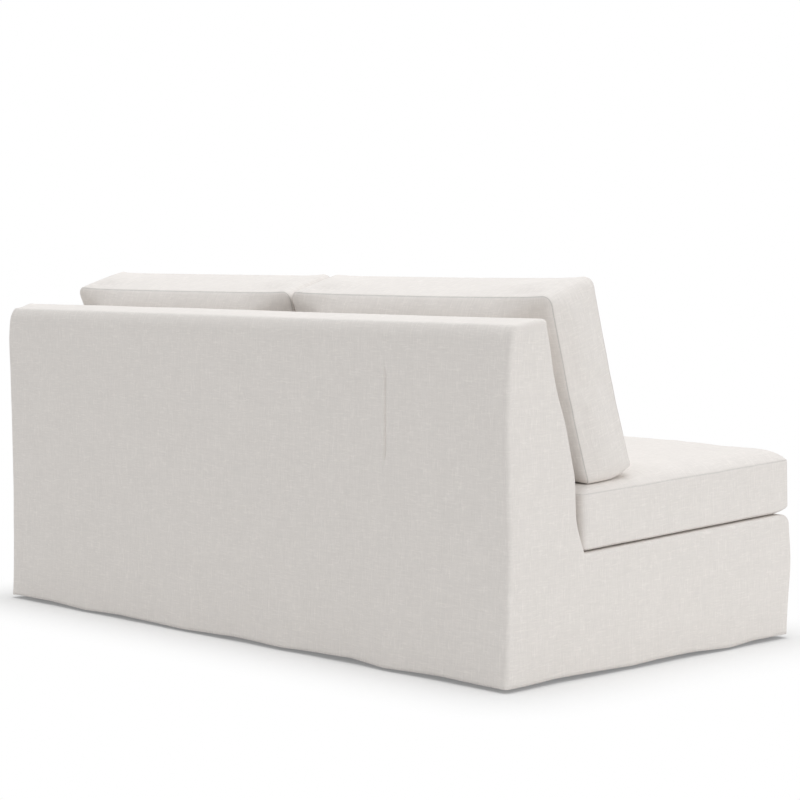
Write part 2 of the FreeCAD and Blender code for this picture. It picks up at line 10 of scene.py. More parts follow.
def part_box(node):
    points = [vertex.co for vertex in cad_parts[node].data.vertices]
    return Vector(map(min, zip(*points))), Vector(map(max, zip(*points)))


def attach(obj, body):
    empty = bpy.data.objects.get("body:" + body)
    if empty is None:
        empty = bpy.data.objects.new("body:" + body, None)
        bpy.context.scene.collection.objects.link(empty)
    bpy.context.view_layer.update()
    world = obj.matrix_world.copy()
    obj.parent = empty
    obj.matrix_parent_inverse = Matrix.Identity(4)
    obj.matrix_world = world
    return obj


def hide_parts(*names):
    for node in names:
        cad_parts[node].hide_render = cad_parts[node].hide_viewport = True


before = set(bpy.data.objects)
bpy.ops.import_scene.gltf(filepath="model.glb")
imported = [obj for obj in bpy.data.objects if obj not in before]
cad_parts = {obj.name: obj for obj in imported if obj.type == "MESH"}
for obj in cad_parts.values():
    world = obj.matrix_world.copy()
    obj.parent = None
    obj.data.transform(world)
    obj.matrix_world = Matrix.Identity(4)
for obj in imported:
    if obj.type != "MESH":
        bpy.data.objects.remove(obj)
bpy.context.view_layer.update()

scene = bpy.context.scene

# Legs and glides
# Six short square legs of stained beech, each drawn up into the frame by a bolt. A nylon glide with a
# pin is pressed into the foot of each, so that the loveseat slides without marking the floor.
leg_names = [f"{row}_{column}_leg" for row in ("front", "rear") for column in ("left", "centre", "right")]
stained_early, stained_late = (0.135, 0.072, 0.038, 1), (0.070, 0.034, 0.018, 1)
nylon_light, nylon_dark = (0.040, 0.032, 0.028, 1), (0.028, 0.022, 0.020, 1)


def feed(tree, socket, value):
    """Links a socket to another one, or sets its constant."""
    if isinstance(value, bpy.types.NodeSocket):
        tree.links.new(value, socket)
    else:
        socket.default_value = value


def add_node(tree, kind, inputs=None, **settings):
    """New shader node, with its settings and what its sockets are fed."""
    made = tree.nodes.new("ShaderNode" + kind)
    for key, value in settings.items():
        setattr(made, key, value)
    for key, value in (inputs or {}).items():
        feed(tree, made.inputs[key], value)
    return made


def sums(tree, operation, a, b, clamp=False):
    """Output of one arithmetic node."""
    return add_node(tree, "Math", {0: a, 1: b}, operation=operation, use_clamp=clamp).outputs[0]


def eased(tree, value, low, high, to_low=0.0, to_high=1.0):
    """Value eased from one range to another."""
    inputs = {"Value": value, "From Min": low, "From Max": high, "To Min": to_low, "To Max": to_high}
    return add_node(tree, "MapRange", inputs, interpolation_type="SMOOTHSTEP").outputs["Result"]


def cloudy(tree, place, scale, detail=2.0):
    """Soft noise over a place."""
    return add_node(tree, "TexNoise", {"Vector": place, "Scale": scale, "Detail": detail}).outputs["Fac"]


def blended(tree, share, a, b):
    """Colour between two colours."""
    factor, first, second, colour = 0, 6, 7, 2
    return add_node(tree, "Mix", {factor: share, first: a, second: b}, data_type="RGBA").outputs[colour]


def swing(tree, value, reach):
    """Noise made to swing about zero, and scaled."""
    return sums(tree, "MULTIPLY", sums(tree, "SUBTRACT", value, 0.5), reach)


def new_group(name, inputs):
    """Empty effect that gives a colour, a roughness and a height: its tree, what comes in and what goes out."""
    tree = bpy.data.node_groups.new(name, "ShaderNodeTree")
    for key, kind in inputs.items():
        tree.interface.new_socket(key, in_out="INPUT", socket_type="NodeSocket" + kind)
    for key, kind in {"Colour": "Color", "Roughness": "Float", "Height": "Float"}.items():
        tree.interface.new_socket(key, in_out="OUTPUT", socket_type="NodeSocket" + kind)
    return tree, tree.nodes.new("NodeGroupInput").outputs, tree.nodes.new("NodeGroupOutput").inputs


def new_finish(name, effect, effect_inputs, bump=(0.3, 0.001), **constants):
    """Material whose shader takes its colour, roughness and relief from an effect."""
    finish = bpy.data.materials.new(name)
    finish.use_nodes = True
    tree = finish.node_tree
    shader = tree.nodes["Principled BSDF"]
    for key, value in constants.items():
        shader.inputs[key.replace("_", " ")].default_value = value
    inputs = {key: make(tree) if callable(make) else make for key, make in effect_inputs.items()}
    placed = add_node(tree, "Group", node_tree=effect)
    for key, value in inputs.items():
        feed(tree, placed.inputs[key], value)
    tree.links.new(placed.outputs["Colour"], shader.inputs["Base Color"])
    tree.links.new(placed.outputs["Roughness"], shader.inputs["Roughness"])
    relief = {"Height": placed.outputs["Height"], "Strength": bump[0], "Distance": bump[1]}
    tree.links.new(add_node(tree, "Bump", relief).outputs["Normal"], shader.inputs["Normal"])
    return finish


def own_place(tree):
    """Place on the piece, in metres."""
    return add_node(tree, "TexCoord").outputs["Object"]


def dress(names, finish):
    """Puts a finish on frame nodes that are shown as they are."""
    for name in names:
        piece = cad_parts[name]
        if not piece.material_slots:
            piece.data.materials.append(finish)
        for place in piece.material_slots:
            place.material = finish


tree, given, result = new_group("wood_grain", {"Place": "Vector", "Early": "Color", "Late": "Color"})
wander = cloudy(tree, given["Place"], 0.9, 3.0)
rings = add_node(tree, "TexWave", {"Vector": given["Place"], "Scale": 0.55, "Distortion": 5.0, "Detail": 2.0})
fibres = cloudy(tree, given["Place"], 7.0, 4.0)
share = sums(tree, "ADD", sums(tree, "MULTIPLY", rings.outputs["Fac"], 0.45), sums(tree, "MULTIPLY", wander, 0.5))
share = sums(tree, "ADD", share, swing(tree, fibres, 0.5), clamp=True)
tree.links.new(blended(tree, share, given["Early"], given["Late"]), result["Colour"])
tree.links.new(eased(tree, fibres, 0.3, 0.7, 0.42, 0.62), result["Roughness"])
tree.links.new(sums(tree, "ADD", fibres, sums(tree, "MULTIPLY", share, -0.4)), result["Height"])
wood_grain = tree

tree, given, result = new_group(
    "speckle", {"Place": "Vector", "Light": "Color", "Dark": "Color", "Fineness": "Float", "Shine": "Float"})
coarse = cloudy(tree, given["Place"], 9.0, 3.0)
grains = cloudy(tree, given["Place"], given["Fineness"], 4.0)
share = sums(tree, "ADD", sums(tree, "MULTIPLY", coarse, 0.4), sums(tree, "MULTIPLY", grains, 0.6), clamp=True)
tree.links.new(blended(tree, eased(tree, share, 0.32, 0.68), given["Light"], given["Dark"]), result["Colour"])
tree.links.new(sums(tree, "ADD", given["Shine"], swing(tree, grains, 0.22), clamp=True), result["Roughness"])
tree.links.new(grains, result["Height"])
speckle = tree


def wood_finish(name, grain, early, late):
    """Timber whose grain runs along one axis of the frame."""
    along, over = 3.5, 42.0
    stretch = tuple(along if axis == grain else over for axis in "XYZ")

    def place(tree):
        return add_node(tree, "Mapping", {"Vector": own_place(tree), "Scale": stretch}).outputs[0]

    return new_finish(name, wood_grain, {"Place": place, "Early": early, "Late": late}, (0.25, 0.0006))


def speckled_finish(name, light, dark, fineness, shine, bump=(0.3, 0.0008), **constants):
    """Finish of fine grains of two colours."""
    values = {"Place": own_place, "Light": light, "Dark": dark, "Fineness": fineness, "Shine": shine}
    return new_finish(name, speckle, values, bump, **constants)


dress(leg_names, wood_finish("leg_stained_beech", "Z", stained_early, stained_late))
dress(["leg_glides"], speckled_finish("glide_nylon", nylon_light, nylon_dark, 900, 0.45))

# Timber frame
# Planed beech rails, posts and a stretcher, glued and doweled at every joint, with corner blocks screwed
# into the four corners of the seat. The wood is left raw, because the upholstery hides all of it.
beech_early, beech_late = (0.62, 0.43, 0.27, 1), (0.47, 0.29, 0.165, 1)
timber = {
    "X": ["front_rail", "rear_rail", "rear_seat_rail", "lower_back_rail", "top_back_rail", "corner_blocks"],
    "Y": ["left_side_rail", "right_side_rail", "centre_stretcher"],
    "Z": ["left_back_post", "right_back_post", "centre_back_post", "frame_dowels"],
}
for grain, names in timber.items():
    dress(names, wood_finish(f"raw_beech_{grain.lower()}", grain, beech_early, beech_late))

# Screws and leg bolts
# Zinc plated steel. One long screw pulls each corner block tight into its corner, and a bolt draws each leg up
# into the frame.
zinc_light, zinc_dark = (0.72, 0.72, 0.70, 1), (0.52, 0.53, 0.53, 1)


def metal_finish(name, light, dark, fineness, shine):
    """Bare metal with a faint grain."""
    return speckled_finish(name, light, dark, fineness, shine, (0.1, 0.0003), Metallic=1.0)


dress(["corner_screws", "leg_bolts"], metal_finish("zinc_plated_steel", zinc_light, zinc_dark, 320, 0.34))

# Seat springs, clips and cross wires
# Zigzag springs of oiled steel wire run from the front rail to the rail under the back. Stamped clips hold
# their ends, and two straight wires tie them together.
wire_light, wire_dark = (0.20, 0.19, 0.18, 1), (0.10, 0.095, 0.09, 1)
spring_count, spring_bends, spring_run, spring_radius = 12, 34, 0.036, 0.002
bend_steps, wire_sides = 8, 10
clip_light, clip_dark = (0.55, 0.54, 0.52, 1), (0.40, 0.39, 0.37, 1)


def new_object(name, data):
    """Object in the scene that shows a mesh, a lamp or a camera."""
    made = bpy.data.objects.new(name, data)
    scene.collection.objects.link(made)
    return made


def new_piece(name, points, faces, finish):
    """Object made from points and faces, shaded smooth, with one finish."""
    mesh = bpy.data.meshes.new(name)
    mesh.from_pydata([tuple(p) for p in points], [], faces)
    mesh.validate()
    mesh.materials.append(finish)
    mesh.shade_smooth()
    return new_object(name, mesh)


def face_out(piece):
    """Turns the faces of a closed piece outwards."""
    build = bmesh.new()
    build.from_mesh(piece.data)
    bmesh.ops.recalc_face_normals(build, faces=build.faces)
    build.to_mesh(piece.data)
    build.free()


spring_wire = metal_finish("oiled_spring_wire", wire_light, wire_dark, 500, 0.38)
dress(["cross_wires"], spring_wire)
spring_low, spring_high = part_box("seat_springs")
front_end = np.array((spring_low.y + spring_radius, spring_high.z - spring_radius))
rear_end = np.array((spring_high.y - spring_radius, spring_low.z + spring_radius))
spring_length = np.linalg.norm(rear_end - front_end)
to_rear, bend_pitch = (rear_end - front_end) / spring_length, spring_length / spring_bends
# the middle line of a spring, across and along: straight runs joined by half rounds
middle_line = []
for k in range(spring_bends + 1):
    way = 1 if k % 2 == 0 else -1
    middle_line.append((-way * spring_run / 2, k * bend_pitch))
    for angle in np.arange(bend_steps if k < spring_bends else 1) * math.pi / bend_steps:
        middle_line.append((way * (spring_run + bend_pitch * math.sin(angle)) / 2,
                            k * bend_pitch + bend_pitch / 2 * (1 - math.cos(angle))))
middle_line = np.array(middle_line)
ways = np.gradient(middle_line, axis=0)
ways /= np.linalg.norm(ways, axis=1)[:, None]
round_wire = np.linspace(0, 2 * math.pi, wire_sides, endpoint=False)
sideways = ways[:, ::-1] * (-1, 1)
flat = middle_line[:, None] + spring_radius * np.cos(round_wire)[None, :, None] * sideways[:, None]
across, along = flat[..., 0].ravel(), flat[..., 1].ravel()
up = np.tile(spring_radius * np.sin(round_wire), len(middle_line))
outer = spring_high.x - spring_radius - spring_run / 2 - bend_pitch / 2
points, faces = [], []
for x in np.linspace(-outer, outer, spring_count):
    start, last = len(points), len(points) + len(across) - wire_sides
    points += list(np.column_stack([x + across, front_end[0] + to_rear[0] * along - to_rear[1] * up,
                                    front_end[1] + to_rear[1] * along + to_rear[0] * up]))
    faces += [(i + j, i + (j + 1) % wire_sides, i + wire_sides + (j + 1) % wire_sides, i + wire_sides + j)
              for i in range(start, last, wire_sides) for j in range(wire_sides)]
    faces += [tuple(range(start, start + wire_sides)), tuple(range(last, last + wire_sides))]
springs = new_piece("seat_spring_wires", points, faces, spring_wire)
face_out(springs)
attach(springs, "frame")
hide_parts("seat_springs")
clip_steel = metal_finish("stamped_clip_steel", clip_light, clip_dark, 260, 0.36)
dress(["front_spring_clips", "rear_spring_clips"], clip_steel)

# Back webbing
# Ten woven elastic straps stand on the front of the back's rails, stapled at top and bottom under tension.
# They carry the foam of the inside back. Each is a flat strap with a thicker woven edge.
lean = math.radians(16.7)
lean_up, lean_front = (math.sin(lean), math.cos(lean)), (-math.cos(lean), math.sin(lean))
strap_width, strap_thickness, strap_count = 0.050, 0.0018, 10
strap_low, strap_high = (0.3032, 0.2917), (0.4431, 0.7575)
strap_rows, strap_columns, strap_reach = 48, 9, 0.8725
webbing_warp, webbing_weft = (0.055, 0.050, 0.047, 1), (0.16, 0.14, 0.12, 1)


def grid_faces(across, along, start=0):
    """Faces of a grid of points, counted along first."""
    corners = [start + i * along + j for i in range(across - 1) for j in range(along - 1)]
    return [(c, c + along, c + along + 1, c + 1) for c in corners]


def rim_of(across, along, start=0):
    """Points round the edge of a grid, in turn."""
    rim = [i * along for i in range(across)] + [(across - 1) * along + j for j in range(1, along)]
    rim += [i * along + along - 1 for i in range(across - 2, -1, -1)] + list(range(along - 2, 0, -1))
    return [start + i for i in rim]


def sheet_faces(across, along, start=0):
    """Faces of a thin closed sheet: two grids of points, the one after the other, joined round their edges."""
    layer, rim = across * along, rim_of(across, along, start)
    under = [tuple(reversed(face)) for face in grid_faces(across, along, start + layer)]
    edge = [(a, b, layer + b, layer + a) for a, b in zip(rim, rim[1:] + rim[:1])]
    return grid_faces(across, along, start) + under + edge


def crossed(tree, place, turns):
    """Over and under of a plain weave, between -1 and 1."""
    turned = add_node(tree, "VectorMath", {0: place, "Scale": turns}, operation="SCALE").outputs[0]
    part = add_node(tree, "SeparateXYZ", {0: turned}).outputs
    return sums(tree, "MULTIPLY", sums(tree, "SINE", part[0], 0.0), sums(tree, "SINE", part[1], 0.0))


tree, given, result = new_group(
    "strap_weave", {"Place": "Vector", "Warp": "Color", "Weft": "Color", "Pitch": "Float"})
weave = crossed(tree, given["Place"], given["Pitch"])
yarn = cloudy(tree, given["Place"], 260.0, 2.0)
share = eased(tree, sums(tree, "ADD", weave, yarn), 0.1, 0.9)
tree.links.new(blended(tree, share, given["Weft"], given["Warp"]), result["Colour"])
tree.links.new(eased(tree, yarn, 0.3, 0.7, 0.75, 0.92), result["Roughness"])
height = sums(tree, "ADD", sums(tree, "MULTIPLY", weave, 0.5), sums(tree, "MULTIPLY", yarn, 0.4))
tree.links.new(height, result["Height"])
strap_weave = tree


def upright_place(tree):
    """Place on the piece seen from the front: across, then up."""
    split = add_node(tree, "SeparateXYZ", {0: own_place(tree)}).outputs
    return add_node(tree, "CombineXYZ", {0: split[0], 1: split[2]}).outputs[0]


webbing_finish = new_finish(
    "elastic_webbing", strap_weave,
    {"Place": upright_place, "Warp": webbing_warp, "Weft": webbing_weft, "Pitch": 2400.0}, (0.5, 0.0006),
)
points, faces = [], []
for k in range(strap_count):
    middle = -strap_reach + 2 * strap_reach * (k + 0.5) / strap_count
    faces += sheet_faces(strap_columns, strap_rows, len(points))
    for side in (1, -1):
        for i in range(strap_columns):
            over = 2 * i / (strap_columns - 1) - 1
            half = strap_thickness / 2 * (1.0 + 0.12 * (abs(over) > 0.7)) * (1 - 0.6 * (abs(over) == 1))
            for j in range(strap_rows):
                up = j / (strap_rows - 1)
                waist = 1 - 0.035 * math.sin(math.pi * up)
                proud = 0.0011 + 0.0006 * math.sin(math.pi * up) * math.sin(1.7 * k + 3 * up) + side * half
                y = strap_low[0] + (strap_high[0] - strap_low[0]) * up + proud * lean_front[0]
                z = strap_low[1] + (strap_high[1] - strap_low[1]) * up + proud * lean_front[1]
                points.append((middle + over * strap_width / 2 * waist, y, z))
webbing = new_piece("back_webbing_straps", points, faces, webbing_finish)
face_out(webbing)
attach(webbing, "frame")
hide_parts("back_webbing")

# Side and back boards
# Thin tempered hardboard, stapled to the rails and posts, closes the two sides and the outside back. It gives
# the wadding a firm flat ground, so that the cover doesn't sink between the timbers.
board_light, board_dark = (0.36, 0.235, 0.135, 1), (0.25, 0.155, 0.085, 1)
board_finish = speckled_finish("hardboard", board_light, board_dark, 420, 0.62, (0.35, 0.0006))
dress(["left_side_board", "right_side_board", "outside_back_board"], board_finish)

# Seat felt
# A sheet of needled grey felt lies over the springs and keeps the foam off the wire. It is laid loose, held
# down by the foam on it, and pressed thin at its edges.
felt_light, felt_dark = (0.33, 0.325, 0.32, 1), (0.20, 0.20, 0.205, 1)
felt_pitch, felt_thickness, felt_drop = math.tan(math.radians(2.1)), 0.0046, 0.0026
felt_margin, felt_across, felt_along = 0.001, 92, 38
felt_finish = speckled_finish("needled_felt", felt_light, felt_dark, 700, 0.95, (0.6, 0.0012))
felt_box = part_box("deck_felt")
points = []
for layer in (1, -1):
    for x in np.linspace(felt_box[0].x + felt_margin, felt_box[1].x - felt_margin, felt_across):
        for y in np.linspace(felt_box[0].y + felt_margin, felt_box[1].y - felt_margin, felt_along):
            middle = felt_box[1].z - felt_drop - (y - felt_box[0].y) * felt_pitch
            edge = min(x - felt_box[0].x, felt_box[1].x - x, y - felt_box[0].y, felt_box[1].y - y)
            half = felt_thickness / 2 * (0.55 + 0.45 * min(1.0, edge / 0.02))
            lump = 0.00025 * noise.noise(Vector((x * 14, y * 14, 3.0 * layer)))
            points.append((x, y, middle + layer * half + lump))
felt = new_piece("seat_felt", points, sheet_faces(felt_across, felt_along), felt_finish)
face_out(felt)
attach(felt, "frame")
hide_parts("deck_felt")

# Foam and wadding
# Cut foam slabs are glued over the deck, the inside back and the top rail. Polyester wadding, stapled on,
# softens the sides, the front and the outside back under the loose cover.
foam_light, foam_dark = (0.80, 0.74, 0.55, 1), (0.70, 0.63, 0.44, 1)
wadding_light, wadding_dark = (0.88, 0.88, 0.86, 1), (0.76, 0.76, 0.74, 1)
foam_finish = speckled_finish("cut_foam", foam_light, foam_dark, 1500, 0.9, (0.5, 0.0015))
wadding_finish = speckled_finish("white_wadding", wadding_light, wadding_dark, 240, 0.95, (0.7, 0.0030),
                                 Sheen_Weight=0.25)


def applied(piece):
    """Fixes a piece's modifiers into its mesh."""
    graph = bpy.context.evaluated_depsgraph_get()
    graph.update()
    shown = piece.evaluated_get(graph)
    mesh = bpy.data.meshes.new_from_object(shown, preserve_all_data_layers=True, depsgraph=graph)
    piece.modifiers.clear()
    piece.data = mesh
    mesh.shade_smooth()


def spots(piece):
    """A piece's points as an array."""
    flat = np.empty(3 * len(piece.data.vertices))
    piece.data.vertices.foreach_get("co", flat)
    return flat.reshape(-1, 3)


def move_to(piece, places):
    """Puts a piece's points at new places."""
    piece.data.vertices.foreach_set("co", np.ascontiguousarray(places, dtype=np.float32).ravel())
    piece.data.update()


def facing(piece):
    """Outward directions at a piece's points."""
    flat = np.empty(3 * len(piece.data.vertices))
    piece.data.vertex_normals.foreach_get("vector", flat)
    return flat.reshape(-1, 3)


def lumps(places, size, seed):
    """Soft noise at places, between about -1 and 1, with lumps of a size."""
    return np.array([noise.noise(Vector(p) / size + Vector((seed, 0.37 * seed, 0))) for p in places])


def plumped(node, finish, cell, inset, lump):
    """Soft stand-in for a padding node: its edges worn round, its faces a little uneven."""
    pad = new_object(f"{node}_soft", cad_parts[node].data.copy())
    remesh = pad.modifiers.new("even_cells", "REMESH")
    remesh.mode, remesh.voxel_size = "VOXEL", cell
    soften = pad.modifiers.new("soften", "SMOOTH")
    soften.factor, soften.iterations = 0.5, 5
    applied(pad)
    places = spots(pad)
    uneven = lumps(places, 0.045, len(node)) + 0.5 * lumps(places, 0.014, 2 * len(node))
    move_to(pad, places + facing(pad) * (lump * uneven - inset)[:, None])
    pad.data.materials.clear()
    pad.data.materials.append(finish)
    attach(pad, "frame")
    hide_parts(node)
    return pad


pads = [plumped(node, foam_finish, cell=0.009, inset=0.0012, lump=0.0006)
        for node in ("deck_foam", "inside_back_foam", "top_back_foam")]
pads += [plumped(node, wadding_finish, cell=0.0056, inset=0.0016, lump=0.0008)
         for node in ("left_side_pad", "right_side_pad", "outside_back_pad", "front_pad")]

# Dust cover
# Black spunbonded sheet, stapled under the seat frame and cut out round the six legs. It keeps dust out of the
# springs, and sags a little between its edges.
dust_light, dust_dark = (0.035, 0.035, 0.037, 1), (0.018, 0.018, 0.020, 1)
leg_play, dust_step, dust_thickness, dust_sag = 0.001, 0.022, 0.0007, 0.004
dust_finish = speckled_finish("black_dust_sheet", dust_light, dust_dark, 1100, 0.9, (0.4, 0.0008))
dust_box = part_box("dust_cover")
leg_boxes = [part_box(name) for name in leg_names]


def cut_lines(low, high, cuts, step):
    """Places from low to high, about a step apart, with one at every cut."""
    stops = sorted({low, high, *cuts})
    spans = [np.linspace(a, b, max(1, round((b - a) / step)), endpoint=False) for a, b in zip(stops, stops[1:])]
    return np.append(np.concatenate(spans), high)


leg_x = [v for a, b in leg_boxes for v in (a.x - leg_play, b.x + leg_play)]
leg_y = {round(v, 5) for a, b in leg_boxes for v in (a.y - leg_play, b.y + leg_play)}
dust_x = cut_lines(dust_box[0].x, dust_box[1].x, leg_x, dust_step)
dust_y = cut_lines(dust_box[0].y, dust_box[1].y, leg_y, dust_step)
points = []
for x in dust_x:
    for y in dust_y:
        free_x = math.sin(math.pi * (x - dust_box[0].x) / (dust_box[1].x - dust_box[0].x))
        free_y = math.sin(math.pi * (y - dust_box[0].y) / (dust_box[1].y - dust_box[0].y))
        near_leg = min(max(abs(x - (a.x + b.x) / 2), abs(y - (a.y + b.y) / 2)) for a, b in leg_boxes)
        sag = dust_sag * max(0.0, free_x * free_y) ** 0.5 * min(1.0, max(0.0, near_leg - 0.03) / 0.15)
        ruck = 0.0004 * noise.noise(Vector((x * 9, y * 9, 1)))
        points.append((x, y, dust_box[1].z - 0.0006 - sag - ruck))
faces = []
for face in grid_faces(len(dust_x), len(dust_y)):
    middle = np.mean([points[v] for v in face], axis=0)
    if not any(a.x < middle[0] < b.x and a.y < middle[1] < b.y for a, b in leg_boxes):
        faces.append(face)
dust = new_piece("dust_sheet", points, faces, dust_finish)
thick = dust.modifiers.new("thickness", "SOLIDIFY")
thick.thickness, thick.offset = dust_thickness, 0.0
build = bmesh.new()
build.from_mesh(dust.data)
bmesh.ops.delete(build, geom=[v for v in build.verts if not v.link_faces], context="VERTS")
build.to_mesh(dust.data)
build.free()
applied(dust)
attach(dust, "frame")
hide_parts("dust_cover")

# Slipcover
# One loose cover of heavy slubby linen, sewn from a long panel that runs from the rear hem over the back
# and the deck to the front hem, and two side panels. It is pulled on over the frame and hangs free.
linen_yarn = (0.854, 0.815, 0.778, 1)
cloth, thread_pitch = 0.002, 0.0026
hem_height, hem_half, shoulder_half, cad_half = 0.0095, 0.912, 0.9215, 0.915
edge_round = 0.0095
rear_y, front_y = 0.49, -0.49
top_rear, top_rear_round, top_rear_turn = (0.440, 0.745), 0.050, math.radians(40)
top_front, top_front_round, top_slant = (0.41786, 0.764), 0.024, math.radians(10.6)
seat_front, seat_front_round = (-0.468, 0.27818), 0.022
crease = (0.24639, 0.27400)
pitch = math.radians(2.1)
rear_count, round_count, top_count, slope_count, deck_count, front_count = 90, 8, 8, 62, 72, 28


def streaky(tree, place, stretch, shift, detail):
    """Soft noise over a place that is stretched and shifted, so that its clouds become streaks."""
    place = add_node(tree, "VectorMath", {0: place, 1: stretch, 2: shift}, operation="MULTIPLY_ADD").outputs[0]
    return cloudy(tree, place, 1.0, detail)


tree, given, result = new_group("linen", {"Cloth": "Vector", "Yarn": "Color", "Seam": "Float"})
# thick and thin places in the yarn, along the weft and along the warp, and single pale flecks
tones, heights = [], []
for slubs, flecks, seed in (((34.0, 300.0, 0.0), (58.0, 330.0, 0.0), 0.0),
                            ((300.0, 30.0, 0.0), (330.0, 52.0, 0.0), 37.0)):
    slub = streaky(tree, given["Cloth"], slubs, (seed, seed, 0.5), 1.5)
    fleck = eased(tree, streaky(tree, given["Cloth"], flecks, (seed, 9.0, 2.5), 0.5), 0.60, 0.74)
    tones += [swing(tree, slub, 0.08), sums(tree, "MULTIPLY", fleck, 0.045)]
    heights += [sums(tree, "MULTIPLY", slub, 1.2), sums(tree, "MULTIPLY", fleck, 0.8)]
for threads, seed in (((24.0, 520.0, 0.0), 11.0), ((520.0, 24.0, 0.0), 53.0)):
    tones.append(swing(tree, streaky(tree, given["Cloth"], threads, (seed, seed, 0.5), 1.0), 0.042))
# soft patches of tone, and painted shade that darkens the yarn in the middle of the seam grooves
patchy = cloudy(tree, given["Cloth"], 13.0, 3.0)
tones += [swing(tree, patchy, 0.04), sums(tree, "MULTIPLY", given["Seam"], -0.42)]
weave = crossed(tree, given["Cloth"], 2 * math.pi / thread_pitch)
heights += [sums(tree, "MULTIPLY", weave, 0.35), sums(tree, "MULTIPLY", given["Seam"], -0.6)]
tone, height = 1.0, 0.5
for more in tones:
    tone = sums(tree, "ADD", more, tone)
for more in heights:
    height = sums(tree, "ADD", more, height)
shaded = add_node(tree, "VectorMath", {0: given["Yarn"], "Scale": tone}, operation="SCALE").outputs[0]
tree.links.new(shaded, result["Colour"])
tree.links.new(eased(tree, patchy, 0.3, 0.7, 0.86, 0.96), result["Roughness"])
tree.links.new(height, result["Height"])
linen = tree


def cloth_place(tree):
    """Place on the cut cloth, in metres."""
    return add_node(tree, "UVMap", uv_map="cut_cloth").outputs["UV"]


def seam_shade_share(tree):
    """Share of painted shade at a place, greatest in the middle of a sewn seam's groove."""
    return add_node(tree, "Attribute", attribute_name="seam").outputs["Fac"]


linen_look = {"Sheen_Weight": 0.06, "Sheen_Roughness": 0.6, "Specular_IOR_Level": 0.2}
# the cushions' linen takes painted shade in its seam grooves; the slipcover's linen has none
cover_linen, cushion_linen = (
    new_finish(name, linen, {"Cloth": cloth_place, "Yarn": linen_yarn, "Seam": seam}, (0.35, 0.0004), **linen_look)
    for name, seam in (("slipcover_linen", 0.0), ("cushion_linen", seam_shade_share))
)


def straight(a, b, count):
    """Points from a to b, without b."""
    return [(a[0] + (b[0] - a[0]) * i / count, a[1] + (b[1] - a[1]) * i / count) for i in range(count)]


def rounded(centre, radius, start, end):
    """Points round a centre from one angle to another, without the last."""
    angles = [start + (end - start) * i / round_count for i in range(round_count)]
    return [(centre[0] + radius * math.cos(a), centre[1] + radius * math.sin(a)) for a in angles]


def smooth(values, low, high):
    """0 below low, 1 above high, eased between."""
    share = np.clip((np.asarray(values) - low) / (high - low), 0, 1)
    return share * share * (3 - 2 * share)


def waves(along, parts):
    """Sum of sine waves, each a length, a height and a shift."""
    return sum(height * np.sin(2 * math.pi * along / length + shift) for length, height, shift in parts)


def surface_of(piece):
    """A piece's faces, for finding where a ray or the nearest place meets them."""
    return BVHTree.FromPolygons([tuple(p) for p in spots(piece)], [tuple(f.vertices) for f in piece.data.polygons])


slope_start = (top_front[0] - top_front_round * math.cos(lean), top_front[1] + top_front_round * math.sin(lean))
deck_end = (seat_front[0] + seat_front_round * math.sin(pitch), seat_front[1] + seat_front_round * math.cos(pitch))
outline = straight((rear_y, hem_height), (rear_y, top_rear[1]), rear_count)
outline += rounded(top_rear, top_rear_round, 0, top_rear_turn)
top_edge = (top_rear[0] + top_rear_round * math.cos(top_rear_turn),
            top_rear[1] + top_rear_round * math.sin(top_rear_turn))
top_end = (top_front[0] + top_front_round * math.sin(top_slant), top_front[1] + top_front_round * math.cos(top_slant))
outline += straight(top_edge, top_end, top_count)
outline += rounded(top_front, top_front_round, math.pi / 2 - top_slant, math.pi - lean)
outline += straight(slope_start, crease, slope_count)
outline += straight(crease, deck_end, deck_count)
outline += rounded(seat_front, seat_front_round, math.pi / 2 - pitch, math.pi)
outline += straight((front_y, seat_front[1]), (front_y, hem_height), front_count) + [(front_y, hem_height)]
outline = np.array(outline)
count = len(outline)
along_cloth = np.concatenate([[0], np.cumsum(np.linalg.norm(np.diff(outline, axis=0), axis=1))])
lines = np.gradient(outline, axis=0)
outward = np.stack([lines[:, 1], -lines[:, 0]], axis=1)
outward /= np.linalg.norm(outward, axis=1)[:, None]

# the inside back's padding swells under the cloth, which tucks in above the crease
swell_up = [0, 0.07, 0.15, 0.22, 0.325, 0.44, 0.577, 0.70, 0.80, 0.90, 1.0]
swell_by = [-1.0, -5.0, -8.0, 0.0, 13.5, 15.5, 16.0, 9.0, 8.5, 14.0, 16.0]
top_start, slope_first = rear_count + round_count, rear_count + 2 * round_count + top_count
place = np.arange(count)
slope_share = np.clip((outline[:, 1] - crease[1]) / (slope_start[1] - crease[1]), 0, 1)
on_slope = (place >= slope_first) & (place < slope_first + slope_count)
swell = np.where(on_slope, np.interp(slope_share, swell_up, swell_by), 0)
over_top = np.clip((place - top_start) / top_count, 0, 1) * swell_by[-1]
swell = np.where((place >= top_start) & (place < slope_first), over_top, swell) / 1000
swell = np.convolve(np.pad(swell, 2, mode="edge"), np.ones(5) / 5, mode="valid")
over_shoulder = np.clip((place - top_start - top_count) / round_count, 0, 1)
swell_way = np.outer(1 - over_shoulder, (-1.0, 0.0)) + np.outer(over_shoulder, lean_front)
shoulder = 0.005 * np.sin(math.pi * over_shoulder)

